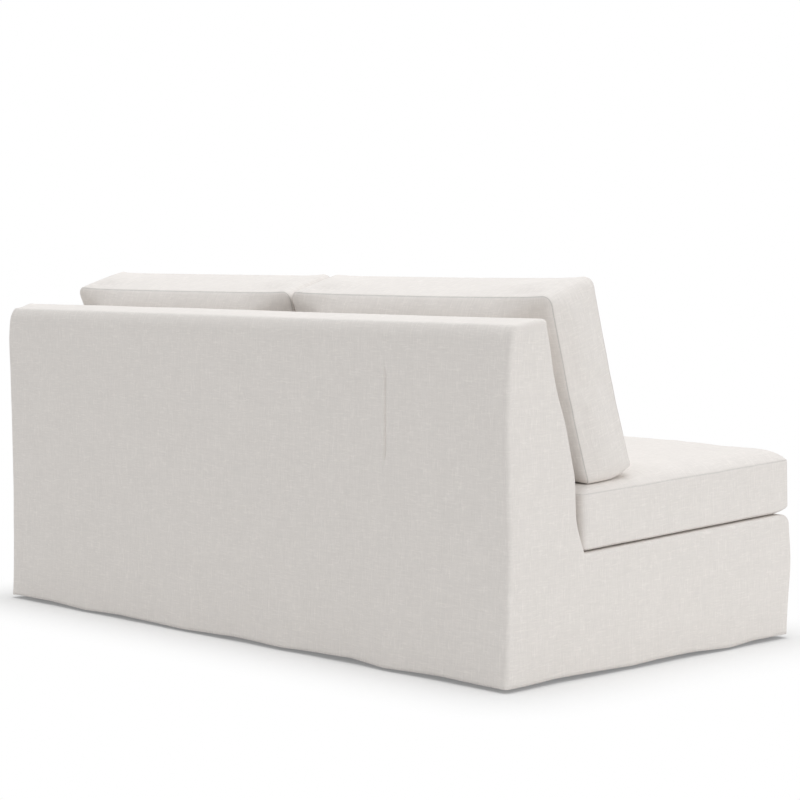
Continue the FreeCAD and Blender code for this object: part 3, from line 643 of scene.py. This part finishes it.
# the stations across lie closer at the tuck in the outside back and towards the ends
tuck_x, tuck_low, tuck_high, tuck_reach = -0.526, 0.44, 0.70, 0.018
flat_half, middle_half, closest = cad_half - edge_round, 0.70, 0.0012
near_end = np.linspace(middle_half, flat_half, 18)
near_tuck = tuck_x + np.linspace(-tuck_reach, tuck_reach, 29)
stations = np.union1d(np.linspace(-middle_half, middle_half, 74), np.concatenate([near_tuck, -near_end, near_end]))
stations = stations[np.concatenate([[True], np.diff(stations) > closest])]
turned = np.radians([18, 36, 54, 72, 90])
columns = [(-flat_half - edge_round * math.sin(a), edge_round * (1 - math.cos(a))) for a in turned[::-1]]
columns += [(x, 0.0) for x in stations]
columns += [(flat_half + edge_round * math.sin(a), edge_round * (1 - math.cos(a))) for a in turned]

# the back cushions flatten the swell, which stays full beside them on the sitter's right
end_fullness = 0.014
points, cut = [], []
for x, inset in columns:
    behind_cushions = 0.45 + 0.55 * smooth(-x, 0.80, 0.90)
    fuller = end_fullness * smooth(-x, 0.72, 0.80) * smooth(x, -0.908, -0.87)
    fuller = fuller * smooth(slope_share, 0.45, 0.60) * smooth(-slope_share, -0.99, -0.80)
    lifted = outline + swell_way * (swell * behind_cushions + fuller * on_slope)[:, None]
    lifted -= outward * inset + np.outer(shoulder, (1, 0))
    points.append(np.column_stack([np.full(count, x), lifted]))
    cut.append(np.column_stack([np.full(count, x), along_cloth]))
points, cut = np.concatenate(points), np.concatenate(cut)
faces = grid_faces(len(columns), count)
long_panel = len(faces)

# side panels: a rear block under the back and a front block under the seat, filled between their edges
rear_corner = top_start
front_corner = top_start + top_count + round_count // 2
fold = slope_first + slope_count
seat_corner = fold + deck_count + round_count // 2
low_rows = rear_corner - (fold - front_corner)
assert low_rows == count - 1 - seat_corner


def filled(left, right, low, high):
    """Grid of points between four edges, each an array of points that shares its ends with its neighbours."""
    s = np.linspace(0, 1, len(low))[:, None, None]
    t = np.linspace(0, 1, len(left))[None, :, None]
    across = (1 - s) * left[None] + s * right[None]
    up = (1 - t) * low[:, None] + t * high[:, None]
    ends = (1 - s) * ((1 - t) * left[0] + t * left[-1]) + s * ((1 - t) * right[0] + t * right[-1])
    return across + up - ends


extra_points, side_faces = [], []
total = len(points)
for column in (0, len(columns) - 1):
    ring = [column * count + i for i in range(count)]
    edge = points[ring]
    hem_mid = np.array([edge[0, 0], edge[fold, 1], hem_height])
    dividing = np.linspace(hem_mid, edge[fold], low_rows + 1)
    blocks = [
        (np.concatenate([dividing, edge[fold - 1:front_corner - 1:-1]]), edge[:rear_corner + 1],
         np.linspace(hem_mid, edge[0], front_corner - rear_corner + 1), edge[front_corner:rear_corner - 1:-1]),
        (edge[count - 1:seat_corner - 1:-1], dividing,
         np.linspace(edge[count - 1], hem_mid, seat_corner - fold + 1), edge[seat_corner:fold - 1:-1]),
    ]
    known = {tuple(np.round(p, 6)): i for p, i in zip(edge, ring)}
    for left, right, low, high in blocks:
        grid = filled(left, right, low, high)
        index = np.empty(grid.shape[:2], int)
        for i, j in np.ndindex(index.shape):
            key = tuple(np.round(grid[i, j], 6))
            if key not in known:
                known[key] = total + len(extra_points)
                extra_points.append(grid[i, j])
            index[i, j] = known[key]
        side_faces += [tuple(int(index.flat[v]) for v in face) for face in grid_faces(*index.shape)]
points = np.concatenate([points, extra_points])

# how the cloth hangs: wider at the shoulders than at the hem, kicked out behind, full in front, waved at the hem
# (moves in millimetres, places in metres)
fade_height, kick_by, kick_height = 0.15, 9.0, 0.34
full_by, full_least, full_at, full_reach = 11.0, 0.5, 0.182, 0.085
x, y, z = points.T.copy()
at_rear, at_front = smooth(y, 0.43, 0.488), smooth(-y, 0.43, 0.488) * smooth(-z, -0.31, -0.28)
at_side = smooth(np.abs(x), 0.88, 0.912)
half_here = hem_half + (shoulder_half - hem_half) * smooth(z, -0.09, 0.73)
fade = np.exp(-z / fade_height)
rear_dips = np.interp(x, [-0.92, -0.84, -0.72, -0.55, -0.43, -0.31, -0.20, -0.02, 0.16, 0.43, 0.57, 0.74, 0.92],
                      [0.0, -0.5, 1.8, -3.0, 3.4, 1.2, -1.9, 1.1, -3.6, 0.4, -3.4, 1.6, 0.8])
side_dips = np.interp(y, [-0.49, -0.45, -0.36, -0.26, -0.13, 0.0, 0.09, 0.21, 0.33, 0.43, 0.49],
                      [0.6, 1.2, 0.9, -4.0, 1.0, 1.4, -1.6, 1.0, 1.8, -0.6, -1.0])
rear_hem = -1.3 * rear_dips + waves(x, [(0.19, 0.9, 0.9)])
front_hem = waves(x, [(0.55, 2.4, 1.4), (0.29, 2.0, 0.3), (0.17, 1.0, 2.2)])
side_hem = -1.1 * side_dips + waves(y + 0.9 * (x > 0), [(0.47, 1.2, 0.2), (0.23, 0.9, 1.7)])
broad = lumps(points, 0.23, 3.0) * 1.3 + lumps(points, 0.09, 7.0) * 0.45
new_x = x * half_here / cad_half + np.sign(x) * at_side * (fade * (2.6 + side_hem) + 0.9 * broad) / 1000
kick = kick_by * np.clip(1 - z / kick_height, 0, 1) ** 2
new_y = y + at_rear * (kick + fade * (2.5 + rear_hem) + broad) / 1000
full = full_by * np.exp(-((z - full_at) / full_reach) ** 2) + full_least
new_y -= at_front * (full + fade * (1.5 + front_hem) + 0.8 * broad) / 1000
front_dips = waves(x, [(0.71, 1.3, 0.6), (0.37, 1.2, 2.6), (0.21, 0.7, 1.3)])
hem_line = np.where(y > 0, rear_dips, front_dips) * (1 - at_side) + side_dips * at_side
new_z = z + np.exp((0.004 - z) / 0.05) * hem_line / 1000
on_top = smooth(z, 0.775, 0.786) * smooth(y, 0.395, 0.41)
new_z += on_top * (0.7 * broad + waves(x, [(1.3, 0.8, 0.3)])) / 1000
new_z += 0.005 * smooth(x, 0.86, 0.905) * smooth(z, 0.75, 0.775) * np.exp(-(((y - 0.432) / 0.016) ** 2))
tucked = smooth(z, tuck_low, tuck_low + 0.05) * smooth(-z, -tuck_high, -tuck_high + 0.05)
from_tuck = x - tuck_x + 0.006 * tucked
# a sharp groove with a soft ridge beside it
tuck_depth, ridge_share, ridge_at, ridge_width, groove_width = 0.0048, 0.35, 0.007, 0.005, 0.0028
ridge = ridge_share * np.exp(-(((from_tuck - ridge_at) / ridge_width) ** 2))
new_y += at_rear * (ridge - np.exp(-((from_tuck / groove_width) ** 2))) * tucked * tuck_depth
# the rear seam on the sitter's right is drawn in below the shoulder, and the left shoulder stands out
drawn_in = np.interp(z, [0.28, 0.33, 0.37, 0.41, 0.455, 0.495, 0.54, 0.62, 0.665, 0.705, 0.745, 0.78],
                     [0.0, 1.0, 2.2, 3.0, 3.4, 4.8, 6.4, 6.4, 5.4, 4.0, 0.8, 0.0]) / 1000
drawn_in *= smooth(-x, 0.80, 0.905) * smooth(y, 0.36, 0.488)
stands_out = np.interp(z, [0.03, 0.13, 0.21, 0.37, 0.45, 0.53, 0.61, 0.66, 0.70, 0.73, 0.755, 0.786],
                       [-4.5, -1.5, -0.8, 0.0, 1.5, 4.0, 5.5, 8.0, 8.5, 6.0, 2.0, -3.5]) / 1000
stands_out *= smooth(x, 0.80, 0.905) * smooth(y, 0.10, 0.45)
new_x += drawn_in + stands_out
new_y += drawn_in
points = np.column_stack([new_x, new_y, new_z])

cover = new_piece("slipcover", points, faces + side_faces, cover_linen)
side_panels_at = 3.0
side_cut = np.column_stack([y * np.sign(x) + side_panels_at, z])
cut = np.concatenate([cut, np.zeros((len(points) - len(cut), 2))])
layout = cover.data.uv_layers.new(name="cut_cloth")
corner_points = np.empty(len(cover.data.loops), int)
cover.data.loops.foreach_get("vertex_index", corner_points)
on_long_panel = (np.arange(len(corner_points)) < 4 * long_panel)[:, None]
corner_spots = np.where(on_long_panel, cut[corner_points], side_cut[corner_points])
layout.data.foreach_set("uv", corner_spots.astype(np.float32).ravel())
face_out(cover)
if max(cover.data.polygons, key=lambda face: face.center.y).normal.y < 0:
    cover.data.flip_normals()
cover_tree = surface_of(cover)
# where the cover lies tight it presses the padding in
pad_play, press_reach = 0.0006, 0.014
for pad in pads:
    places = spots(pad)
    for i, place in enumerate(places):
        hit, out = cover_tree.find_nearest(Vector(place), press_reach)[:2]
        if hit is not None:
            places[i] -= np.array(out) * max(0.0, (Vector(place) - hit).dot(out) + cloth + pad_play)
    move_to(pad, places)
thick = cover.modifiers.new("thickness", "SOLIDIFY")
thick.thickness, thick.offset = cloth, -1.0
applied(cover)
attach(cover, "slipcover")
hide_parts("cover_left_side", "cover_right_side", "cover_outside_back", "cover_top", "cover_inside_back",
            "cover_deck", "cover_front")

# Seat cushion
# A bench cushion: a foam core in a boxed linen cover with plain seams. The top panel crowns over the foam
# and rounds down to the upper seam, and the bottom lies flat on the deck. The zip is in the rear boxing.
seat_corner_at, seat_along, seat_up = (0.24609, 0.27430), (-0.99933, 0.03664), (0.03664, 0.99933)
seat_width, seat_length, seat_seams = 1.817, 0.7530, (0.007, 0.128)
seat_zip_half, seat_zip_rise = 0.759, 0.066
zip_depth, zip_lips = 0.011, 0.017
seat_bulge, seat_above_deck, seat_behind = 0.006, 0.0008, 0.001


def from_edge(values, span):
    """Distance from the nearer of two ends."""
    return np.minimum(values, span - values)


def plump(distance, reach):
    """Rise of a stuffed panel from its seam, 1 beyond reach."""
    share = np.clip(distance / reach, 0, 1)
    return np.sqrt(1 - (1 - share) ** 2)


class Boxed:
    """A boxed cushion in its own frame: across, along and up. Two panels and a strip of boxing between them."""

    def __init__(self, corner, along, up, middle, width, length):
        self.corner, self.along, self.up = np.array(corner), np.array(along), np.array(up)
        self.middle, self.width, self.length = middle, width, length

    def placed(self, own):
        """Points of the cushion's frame in the frame of the loveseat."""
        flat = self.corner + own[:, 1:2] * self.along + own[:, 2:3] * self.up
        return np.column_stack([own[:, 0] + self.middle, flat])

    def own(self, places):
        """Points of the loveseat's frame in the cushion's frame."""
        flat = places[:, 1:] - self.corner
        return np.column_stack([places[:, 0] - self.middle, flat @ self.along, flat @ self.up])

    def sew(self, name, seams, corner_rounds, step, rows, low_crown, high_crown):
        """Makes the cover's mesh. Each crown gives a panel's rise from its place across and along."""
        self.seams = seams
        across, along = round(self.width / step) + 1, round(self.length / step) + 1
        over, out = np.linspace(-1, 1, across) * self.width / 2, np.linspace(0, self.length, along)
        u, v = np.meshgrid(over, out, indexing="ij")
        low, high = low_crown(u, v), high_crown(u, v)
        turn = np.where(v < self.length / 2, *corner_rounds)
        a = np.clip((np.abs(u) - self.width / 2 + turn) / turn, 0, 1)
        b = np.clip((np.abs(v - self.length / 2) - self.length / 2 + turn) / turn, 0, 1)
        flat_u = np.sign(u) * (np.abs(u) - turn * a * (1 - np.sqrt(1 - b**2 / 2)))
        flat_v = v - np.sign(v - self.length / 2) * turn * b * (1 - np.sqrt(1 - a**2 / 2))
        panel, rim = across * along, rim_of(across, along)
        own = np.concatenate([np.column_stack([flat_u.ravel(), flat_v.ravel(), rise.ravel()])
                              for rise in (seams[0] - low, seams[1] + high)])
        rim_places, low_rim, high_rim = own[rim, :2], own[rim, 2], own[[panel + i for i in rim], 2]
        loops = [rim]
        for k in range(1, rows):
            start = len(own)
            own = np.concatenate([own, np.column_stack([rim_places, low_rim + (high_rim - low_rim) * k / rows])])
            loops.append(list(range(start, start + len(rim))))
        loops.append([panel + i for i in rim])
        faces = grid_faces(across, along) + grid_faces(across, along, panel)
        # the upper panel and the boxing are cut from the cloth beside the lower panel
        high_at, boxing_at = 2.0, 4.0
        cloth_cut = [(own[v, 0], own[v, 1] + high_at * (v >= panel)) for face in faces for v in face]
        sides = np.diff(np.vstack([rim_places, rim_places[:1]]), axis=0)
        run = np.concatenate([[0], np.cumsum(np.linalg.norm(sides, axis=1))])
        for k in range(rows):
            for i in range(len(rim)):
                n = (i + 1) % len(rim)
                faces.append((loops[k][i], loops[k][n], loops[k + 1][n], loops[k + 1][i]))
                lower, upper = (boxing_at + (seams[0] + (seams[1] - seams[0]) * row / rows) for row in (k, k + 1))
                cloth_cut += [(run[i], lower), (run[i + 1], lower), (run[i + 1], upper), (run[i], upper)]
        self.piece = new_piece(name, self.placed(own), faces, cushion_linen)
        layout = self.piece.data.uv_layers.new(name="cut_cloth")
        layout.data.foreach_set("uv", np.array(cloth_cut, np.float32).ravel())
        self.seam_points = [set(loops[0]), set(loops[-1])]
        face_out(self.piece)

    def puff(self, pressure, cap):
        """Blows the cover up a little, so that its panels swell and pucker between the seams."""
        before, last_step = spots(self.piece), 20
        cloth_sim = self.piece.modifiers.new("puff", "CLOTH")
        settings = cloth_sim.settings
        settings.quality, settings.mass, settings.air_damping = 4, 0.3, 4.0
        settings.tension_stiffness, settings.compression_stiffness, settings.shear_stiffness = 22.0, 22.0, 8.0
        settings.bending_stiffness = 1.2
        settings.use_pressure, settings.uniform_pressure_force = True, pressure
        settings.effector_weights.gravity = 0
        cloth_sim.point_cache.frame_start, cloth_sim.point_cache.frame_end = 1, last_step
        for step in range(1, last_step + 1):
            scene.frame_set(step)
        graph = bpy.context.evaluated_depsgraph_get()
        swollen = self.piece.evaluated_get(graph).to_mesh()
        after = np.empty(3 * len(swollen.vertices))
        swollen.vertices.foreach_get("co", after)
        moved = after.reshape(-1, 3) - before
        far = np.linalg.norm(moved, axis=1)[:, None] + 1e-9
        self.piece.evaluated_get(graph).to_mesh_clear()
        self.piece.modifiers.clear()
        scene.frame_set(1)
        own = self.own(before + moved * (cap * np.tanh(far / cap) / far))
        sewn = sorted(set.union(*self.seam_points))
        # the sewn edges keep the size that they were cut to
        own[:, 0] *= self.width / 2 / np.abs(own[sewn, 0]).max()
        near, far_end = own[sewn, 1].min(), own[sewn, 1].max()
        own[:, 1] = (own[:, 1] - near) * self.length / (far_end - near)
        low, high = (own[sorted(loop), 2].mean() for loop in self.seam_points)
        own[:, 2] = self.seams[0] + (own[:, 2] - low) * (self.seams[1] - self.seams[0]) / (high - low)
        move_to(self.piece, self.placed(own))

    def draw_seams(self, width, depth, shade):
        """Sinks a narrow groove along both seams, and marks its middle with painted shade for the finish."""
        build = bmesh.new()
        build.from_mesh(self.piece.data)
        seam_shade_mark = build.verts.layers.float.new("seam")
        sewn = [e for e in build.edges if any({v.index for v in e.verts} <= loop for loop in self.seam_points)]
        made = bmesh.ops.bevel(build, geom=sewn, offset=width / 2, segments=2, profile=0.5, affect="EDGES")
        strip = set(made["faces"])
        middle = [v for v in made["verts"] if v.is_valid and all(face in strip for face in v.link_faces)]
        build.normal_update()
        for v in middle:
            v[seam_shade_mark] = shade
        for v, by in [(v, v.normal * -depth) for v in middle]:
            v.co += by
        build.to_mesh(self.piece.data)
        build.free()

    def smooth_over(self):
        """Finer, rounder mesh."""
        finer = self.piece.modifiers.new("finer", "SUBSURF")
        finer.levels = finer.render_levels = 1
        applied(self.piece)

    def sink_zip(self, zip_half, middle_rise):
        """Presses the pocket for the zip into the boxing at the near end."""
        own = self.own(spots(self.piece))
        ease, past_end, from_end, reach_in, behind_tape = 0.0035, 0.022, 0.014, 0.03, 0.0004
        inside = smooth(-np.abs(own[:, 2] - middle_rise), -zip_lips - ease, -zip_lips + ease)
        inside *= smooth(-np.abs(own[:, 0]), -zip_half - past_end, -zip_half - from_end) * (own[:, 1] < reach_in)
        own[:, 1] = own[:, 1] * (1 - inside) + np.maximum(own[:, 1], zip_depth + behind_tape) * inside
        move_to(self.piece, self.placed(own))


def seat_low_crown(u, v):
    """Fall of the bottom panel from its seam, with the front corners turned up."""
    edge = np.minimum(from_edge(v, seat_length), seat_width / 2 - np.abs(u))
    from_front_corner = np.hypot(seat_length - v, seat_width / 2 - np.abs(u))
    return seat_seams[0] * plump(edge, 0.016) - 0.008 * np.exp(-((from_front_corner / 0.035) ** 2))


def seat_high_crown(u, v):
    """Rise of the top panel from its seam, less where the back cushions press on it."""
    over_side, over_front = plump(seat_width / 2 - np.abs(u), 0.060), plump(from_edge(v, seat_length), 0.052)
    bow = (1 - (2 * v / seat_length - 1) ** 2) * (1 - (2 * u / seat_width) ** 4)
    pressed = smooth(-v, -0.30, -0.17) * smooth(-np.abs(u), -0.908, -0.872)
    free_rise = 0.0225 + 0.0045 * smooth(seat_width / 2 - np.abs(u), 0.13, 0.34) + 0.009 * bow
    pressed_rise = 0.0065 + 0.0045 * smooth(v, 0.07, 0.20)
    return over_side * over_front * (free_rise * (1 - pressed) + pressed_rise * pressed)


seat = Boxed(seat_corner_at, seat_along, seat_up, 0.0, seat_width, seat_length)
seat.sew("seat_cushion", seat_seams, corner_rounds=(0.014, 0.018), step=0.0145, rows=12,
         low_crown=seat_low_crown, high_crown=seat_high_crown)
seat.puff(pressure=3.0, cap=0.007)
# it lies on the deck and keeps to its place between the ends
own = seat.own(spots(seat.piece))
own[:, 2] = np.maximum(own[:, 2], seat_above_deck)
own[:, 1] = np.clip(own[:, 1], -seat_behind, seat_length + seat_bulge)
own[:, 0] = np.clip(own[:, 0], -seat_width / 2 - seat_bulge, seat_width / 2 + seat_bulge)
move_to(seat.piece, seat.placed(own))
seat.draw_seams(width=0.0026, depth=0.0014, shade=0.5)
seat.smooth_over()
seat.sink_zip(seat_zip_half, seat_zip_rise)
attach(seat.piece, "seat_cushion")
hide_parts("seat_cushion_cover", "seat_cushion_foam")
seat_tree = surface_of(seat.piece)

# Back cushions
# Two fibre filled cushions in boxed linen covers. Each stands on the seat cushion and leans on the inside
# back, where its rear panel swells. The zip is in the bottom boxing.
back_corner_at, back_thickness, back_length = (0.19286, 0.41672), 0.145, 0.434
back_spans = {"left": (-0.015, 0.8500), "right": (-0.8710, -0.019)}
back_zip_half = 0.28275
above_seat, least_above_seat, before_back, ray_top = 0.0004, 0.0003, 0.0015, 0.8
down, to_back = Vector((0, 0, -1)), Vector((0, 1, 0))


def back_crown(rise, reach, rounding):
    """Swell of a back cushion's panel, rounded from its ends."""
    def crown(u, v):
        bow = 1 - (2 * v / back_length - 1) ** 2
        return rise * bow**0.85 * rounding(u.max() - np.abs(u), reach)

    return crown


backs = {}
for side, (low_x, high_x) in back_spans.items():
    back = backs[side] = Boxed(back_corner_at, lean_up, lean_front, (low_x + high_x) / 2, high_x - low_x, back_length)
    back.sew(f"{side}_back_cushion", (0.0, back_thickness), corner_rounds=(0.006, 0.023), step=0.0135, rows=12,
             low_crown=back_crown(rise=0.070, reach=0.20, rounding=lambda ends, reach: smooth(ends, 0.01, reach)),
             high_crown=back_crown(rise=0.034, reach=0.15, rounding=plump))
    back.puff(pressure=3.0, cap=0.008)
    # its weight flattens the bottom on the seat, and it lies against the inside back
    own = back.own(spots(back.piece))
    at_end = smooth(np.abs(own[:, 0]), back.width / 2 - 0.12, back.width / 2)
    own[:, 1] += 0.007 * at_end * smooth(own[:, 2], 0.110, 0.165) * smooth(-own[:, 1], -0.030, 0.0)
    slumped = smooth(-own[:, 1], -0.15, 0.0)
    own[:, 2] += slumped * (0.004 + 0.008 * np.clip(own[:, 2] / back_thickness, 0, 1))
    if side == "right":
        own[:, 1] += 0.002 * smooth(-own[:, 0], 0.05, 0.42) * smooth(own[:, 1], 0.15, back_length)
    under = back.placed(own * (1, 0, 1))
    landed = [seat_tree.ray_cast(Vector((p[0], p[1], ray_top)), down)[0] for p in under]
    drop = np.array([0.0 if hit is None else hit.z + above_seat - p[2] for hit, p in zip(landed, under)])
    places = back.placed(own)
    places[:, 2] += np.clip(drop, -0.02, 0.02) * smooth(-own[:, 1], -0.13, -0.01)
    for i, place in enumerate(places):
        hit = seat_tree.ray_cast(Vector((place[0], place[1], ray_top)), down)[0] if place[2] < 0.48 else None
        if hit is not None:
            places[i, 2] = max(place[2], hit.z + least_above_seat)
        hit = cover_tree.ray_cast(Vector((place[0], -0.2, places[i, 2])), to_back)[0]
        if hit is not None and 0.32 < places[i, 2] < 0.786:
            places[i, 1] = min(place[1], hit.y - before_back)
    move_to(back.piece, places)
    back.draw_seams(width=0.0032, depth=0.0018, shade=0.8)
    back.smooth_over()
    back.sink_zip(back_zip_half, back_thickness / 2)
    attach(back.piece, f"{side}_back_cushion")
    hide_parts(f"{side}_back_cushion_cover", f"{side}_back_cushion_fill")

# Zips
# A woven tape sewn behind the lips of each cushion's boxing, with two rows of moulded teeth. The slider and
# its pull are cast zinc.
cast_light, cast_dark = (0.62, 0.60, 0.56, 1), (0.46, 0.44, 0.41, 1)
tape_warp, tape_weft = (0.70, 0.67, 0.61, 1), (0.58, 0.55, 0.49, 1)
dress(["seat_cushion_zip_slider", "left_back_cushion_zip_slider", "right_back_cushion_zip_slider"],
      metal_finish("cast_zinc", cast_light, cast_dark, 380, 0.32))
tape_finish = new_finish(
    "zip_tape", strap_weave,
    {"Place": upright_place, "Warp": tape_warp, "Weft": tape_weft, "Pitch": 5200.0}, (0.4, 0.0004),
)
tape_width, tape_thickness, tooth_pitch = 0.028, 0.0012, 0.0028
tooth_size, row_off, tooth_sunk = (0.0019, 0.0036, 0.0021), 0.0012, 0.0002


def block(low, high):
    """Corners and faces of a small block."""
    corners = [(x, y, z) for x in (low[0], high[0]) for y in (low[1], high[1]) for z in (low[2], high[2])]
    return corners, [(0, 1, 3, 2), (4, 6, 7, 5), (0, 4, 5, 1), (2, 3, 7, 6), (0, 2, 6, 4), (1, 5, 7, 3)]


def sew_zip(name, cushion, zip_half, rise, body, node):
    """Tape and teeth of one zip, in its cushion's frame."""
    steps, across = 160, 9
    own, faces = [], sheet_faces(steps, across)
    for layer in (0, 1):
        for i in range(steps):
            for j in range(across):
                over = 2 * j / (across - 1) - 1
                ripple = 0.00015 * math.sin(i * 0.9 + 2.0 * over)
                depth = zip_depth - (0 if layer else tape_thickness) + ripple * (1 - layer)
                own.append((zip_half * (2 * i / (steps - 1) - 1), depth, rise + over * tape_width / 2))
    face_depth = zip_depth - tape_thickness
    for i in range(int(2 * zip_half / tooth_pitch)):
        for row, shift in ((-1, 0.0), (1, 0.5)):
            x = -zip_half + (i + 0.5 + shift) * tooth_pitch
            if x > zip_half - tooth_pitch:
                continue
            middle = rise + row * row_off
            low = (x - tooth_size[0] / 2, face_depth - tooth_size[2], middle - tooth_size[1] / 2)
            high = (x + tooth_size[0] / 2, face_depth + tooth_sunk, middle + tooth_size[1] / 2)
            corners, sides = block(low, high)
            faces += [tuple(v + len(own) for v in face) for face in sides]
            own += corners
    piece = new_piece(name, cushion.placed(np.array(own)), faces, tape_finish)
    piece.data.shade_flat()
    face_out(piece)
    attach(piece, body)
    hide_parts(node)


sew_zip("seat_cushion_zip_chain", seat, seat_zip_half, seat_zip_rise, "seat_cushion", "seat_cushion_zip")
for side, back in backs.items():
    sew_zip(f"{side}_back_cushion_zip_chain", back, back_zip_half, back_thickness / 2, f"{side}_back_cushion",
            f"{side}_back_cushion_zip")

# Floor
# A plain pale studio floor that runs out to white. It isn't part of the loveseat: it lies there for the soft
# shadow under the hem.
floor_reach, floor_pale = 40.0, (0.93, 0.93, 0.925, 1)
shadow_half, shadow_start, shadow_end = (0.92, 0.50, 0.0), -0.12, 0.28


def seen_share(tree):
    """1 for rays that show something to the camera, straight or by a shine, and 0 for those that only light it."""
    rays = add_node(tree, "LightPath").outputs
    shone = sums(tree, "MAXIMUM", rays["Is Glossy Ray"], rays["Is Transmission Ray"])
    return sums(tree, "MAXIMUM", rays["Is Camera Ray"], shone)


floor_finish = bpy.data.materials.new("pale_floor")
floor_finish.use_nodes = True
tree = floor_finish.node_tree
shader = tree.nodes["Principled BSDF"]
for key, value in {"Base Color": floor_pale, "Roughness": 0.9, "Specular IOR Level": 0.1}.items():
    shader.inputs[key].default_value = value
beyond = add_node(tree, "VectorMath", {0: own_place(tree)}, operation="ABSOLUTE").outputs[0]
for operation, by in (("SUBTRACT", shadow_half), ("MAXIMUM", (0.0, 0.0, 0.0))):
    beyond = add_node(tree, "VectorMath", {0: beyond, 1: by}, operation=operation).outputs[0]
away = add_node(tree, "VectorMath", {0: beyond}, operation="LENGTH").outputs["Value"]
white = add_node(tree, "Emission", {"Color": (1, 1, 1, 1), "Strength": 1.0})
whitened = sums(tree, "MULTIPLY", seen_share(tree), eased(tree, away, shadow_start, shadow_end))
mixed = add_node(tree, "MixShader", {0: whitened, 1: shader.outputs[0], 2: white.outputs[0]})
tree.links.new(mixed.outputs[0], tree.nodes["Material Output"].inputs["Surface"])
corners = [(sx * floor_reach, sy * floor_reach, 0) for sx, sy in ((-1, -1), (1, -1), (1, 1), (-1, 1))]
floor = new_piece("studio_floor", corners, [(0, 1, 2, 3)], floor_finish)

# Light
# Even soft daylight all round, one large soft light overhead and a softbox on the sitter's right. The camera
# sees the room itself as plain white.
world = bpy.data.worlds.new("studio")
scene.world = world
world.use_nodes = True
tree = world.node_tree
tree.nodes.clear()
ambient = add_node(tree, "Background", {"Color": (1, 1, 1, 1), "Strength": 0.565})
backdrop = add_node(tree, "Background", {"Color": (1, 1, 1, 1), "Strength": 1.0})
mixed = add_node(tree, "MixShader", {0: seen_share(tree), 1: ambient.outputs[0], 2: backdrop.outputs[0]})
tree.links.new(mixed.outputs[0], add_node(tree, "OutputWorld").inputs["Surface"])


def soft_light(name, place, aim, size, watts, tint):
    """Large square lamp that faces a point."""
    lamp = bpy.data.lights.new(name, "AREA")
    lamp.shape, lamp.size, lamp.energy, lamp.color = "SQUARE", size, watts, tint
    holder = new_object(name, lamp)
    holder.location = place
    holder.rotation_euler = (Vector(aim) - Vector(place)).to_track_quat("-Z", "Y").to_euler()


soft_light("overhead", (0.0, -0.3, 4.2), aim=(0.0, 0.0, 0.3), size=5.0, watts=95.0, tint=(0.98, 0.995, 1.02))
soft_light("side_softbox", (-7.0, -0.8, 1.8), aim=(-0.9, 0.0, 0.35), size=4.0, watts=66.0, tint=(1.0, 1.0, 1.0))
scene.view_settings.view_transform = "Standard"

# Camera
# Stands behind the loveseat on the sitter's right, a little above the back, as in the photograph. Its long lens
# keeps the upright lines nearly parallel.
turn, dip = math.radians(46.063), math.radians(3.876)
view = bpy.data.cameras.new("view")
view.sensor_width, view.lens = 36.0, 101.0
camera = new_object("view", view)
camera.location = (-4.1264, 3.9035, 0.938)
gaze = Vector((math.sin(turn) * math.cos(dip), -math.cos(turn) * math.cos(dip), -math.sin(dip)))
camera.rotation_euler = gaze.to_track_quat("-Z", "Y").to_euler()
scene.camera = camera

# Last update
# The scene is brought up to date once everything is placed.
bpy.context.view_layer.update()
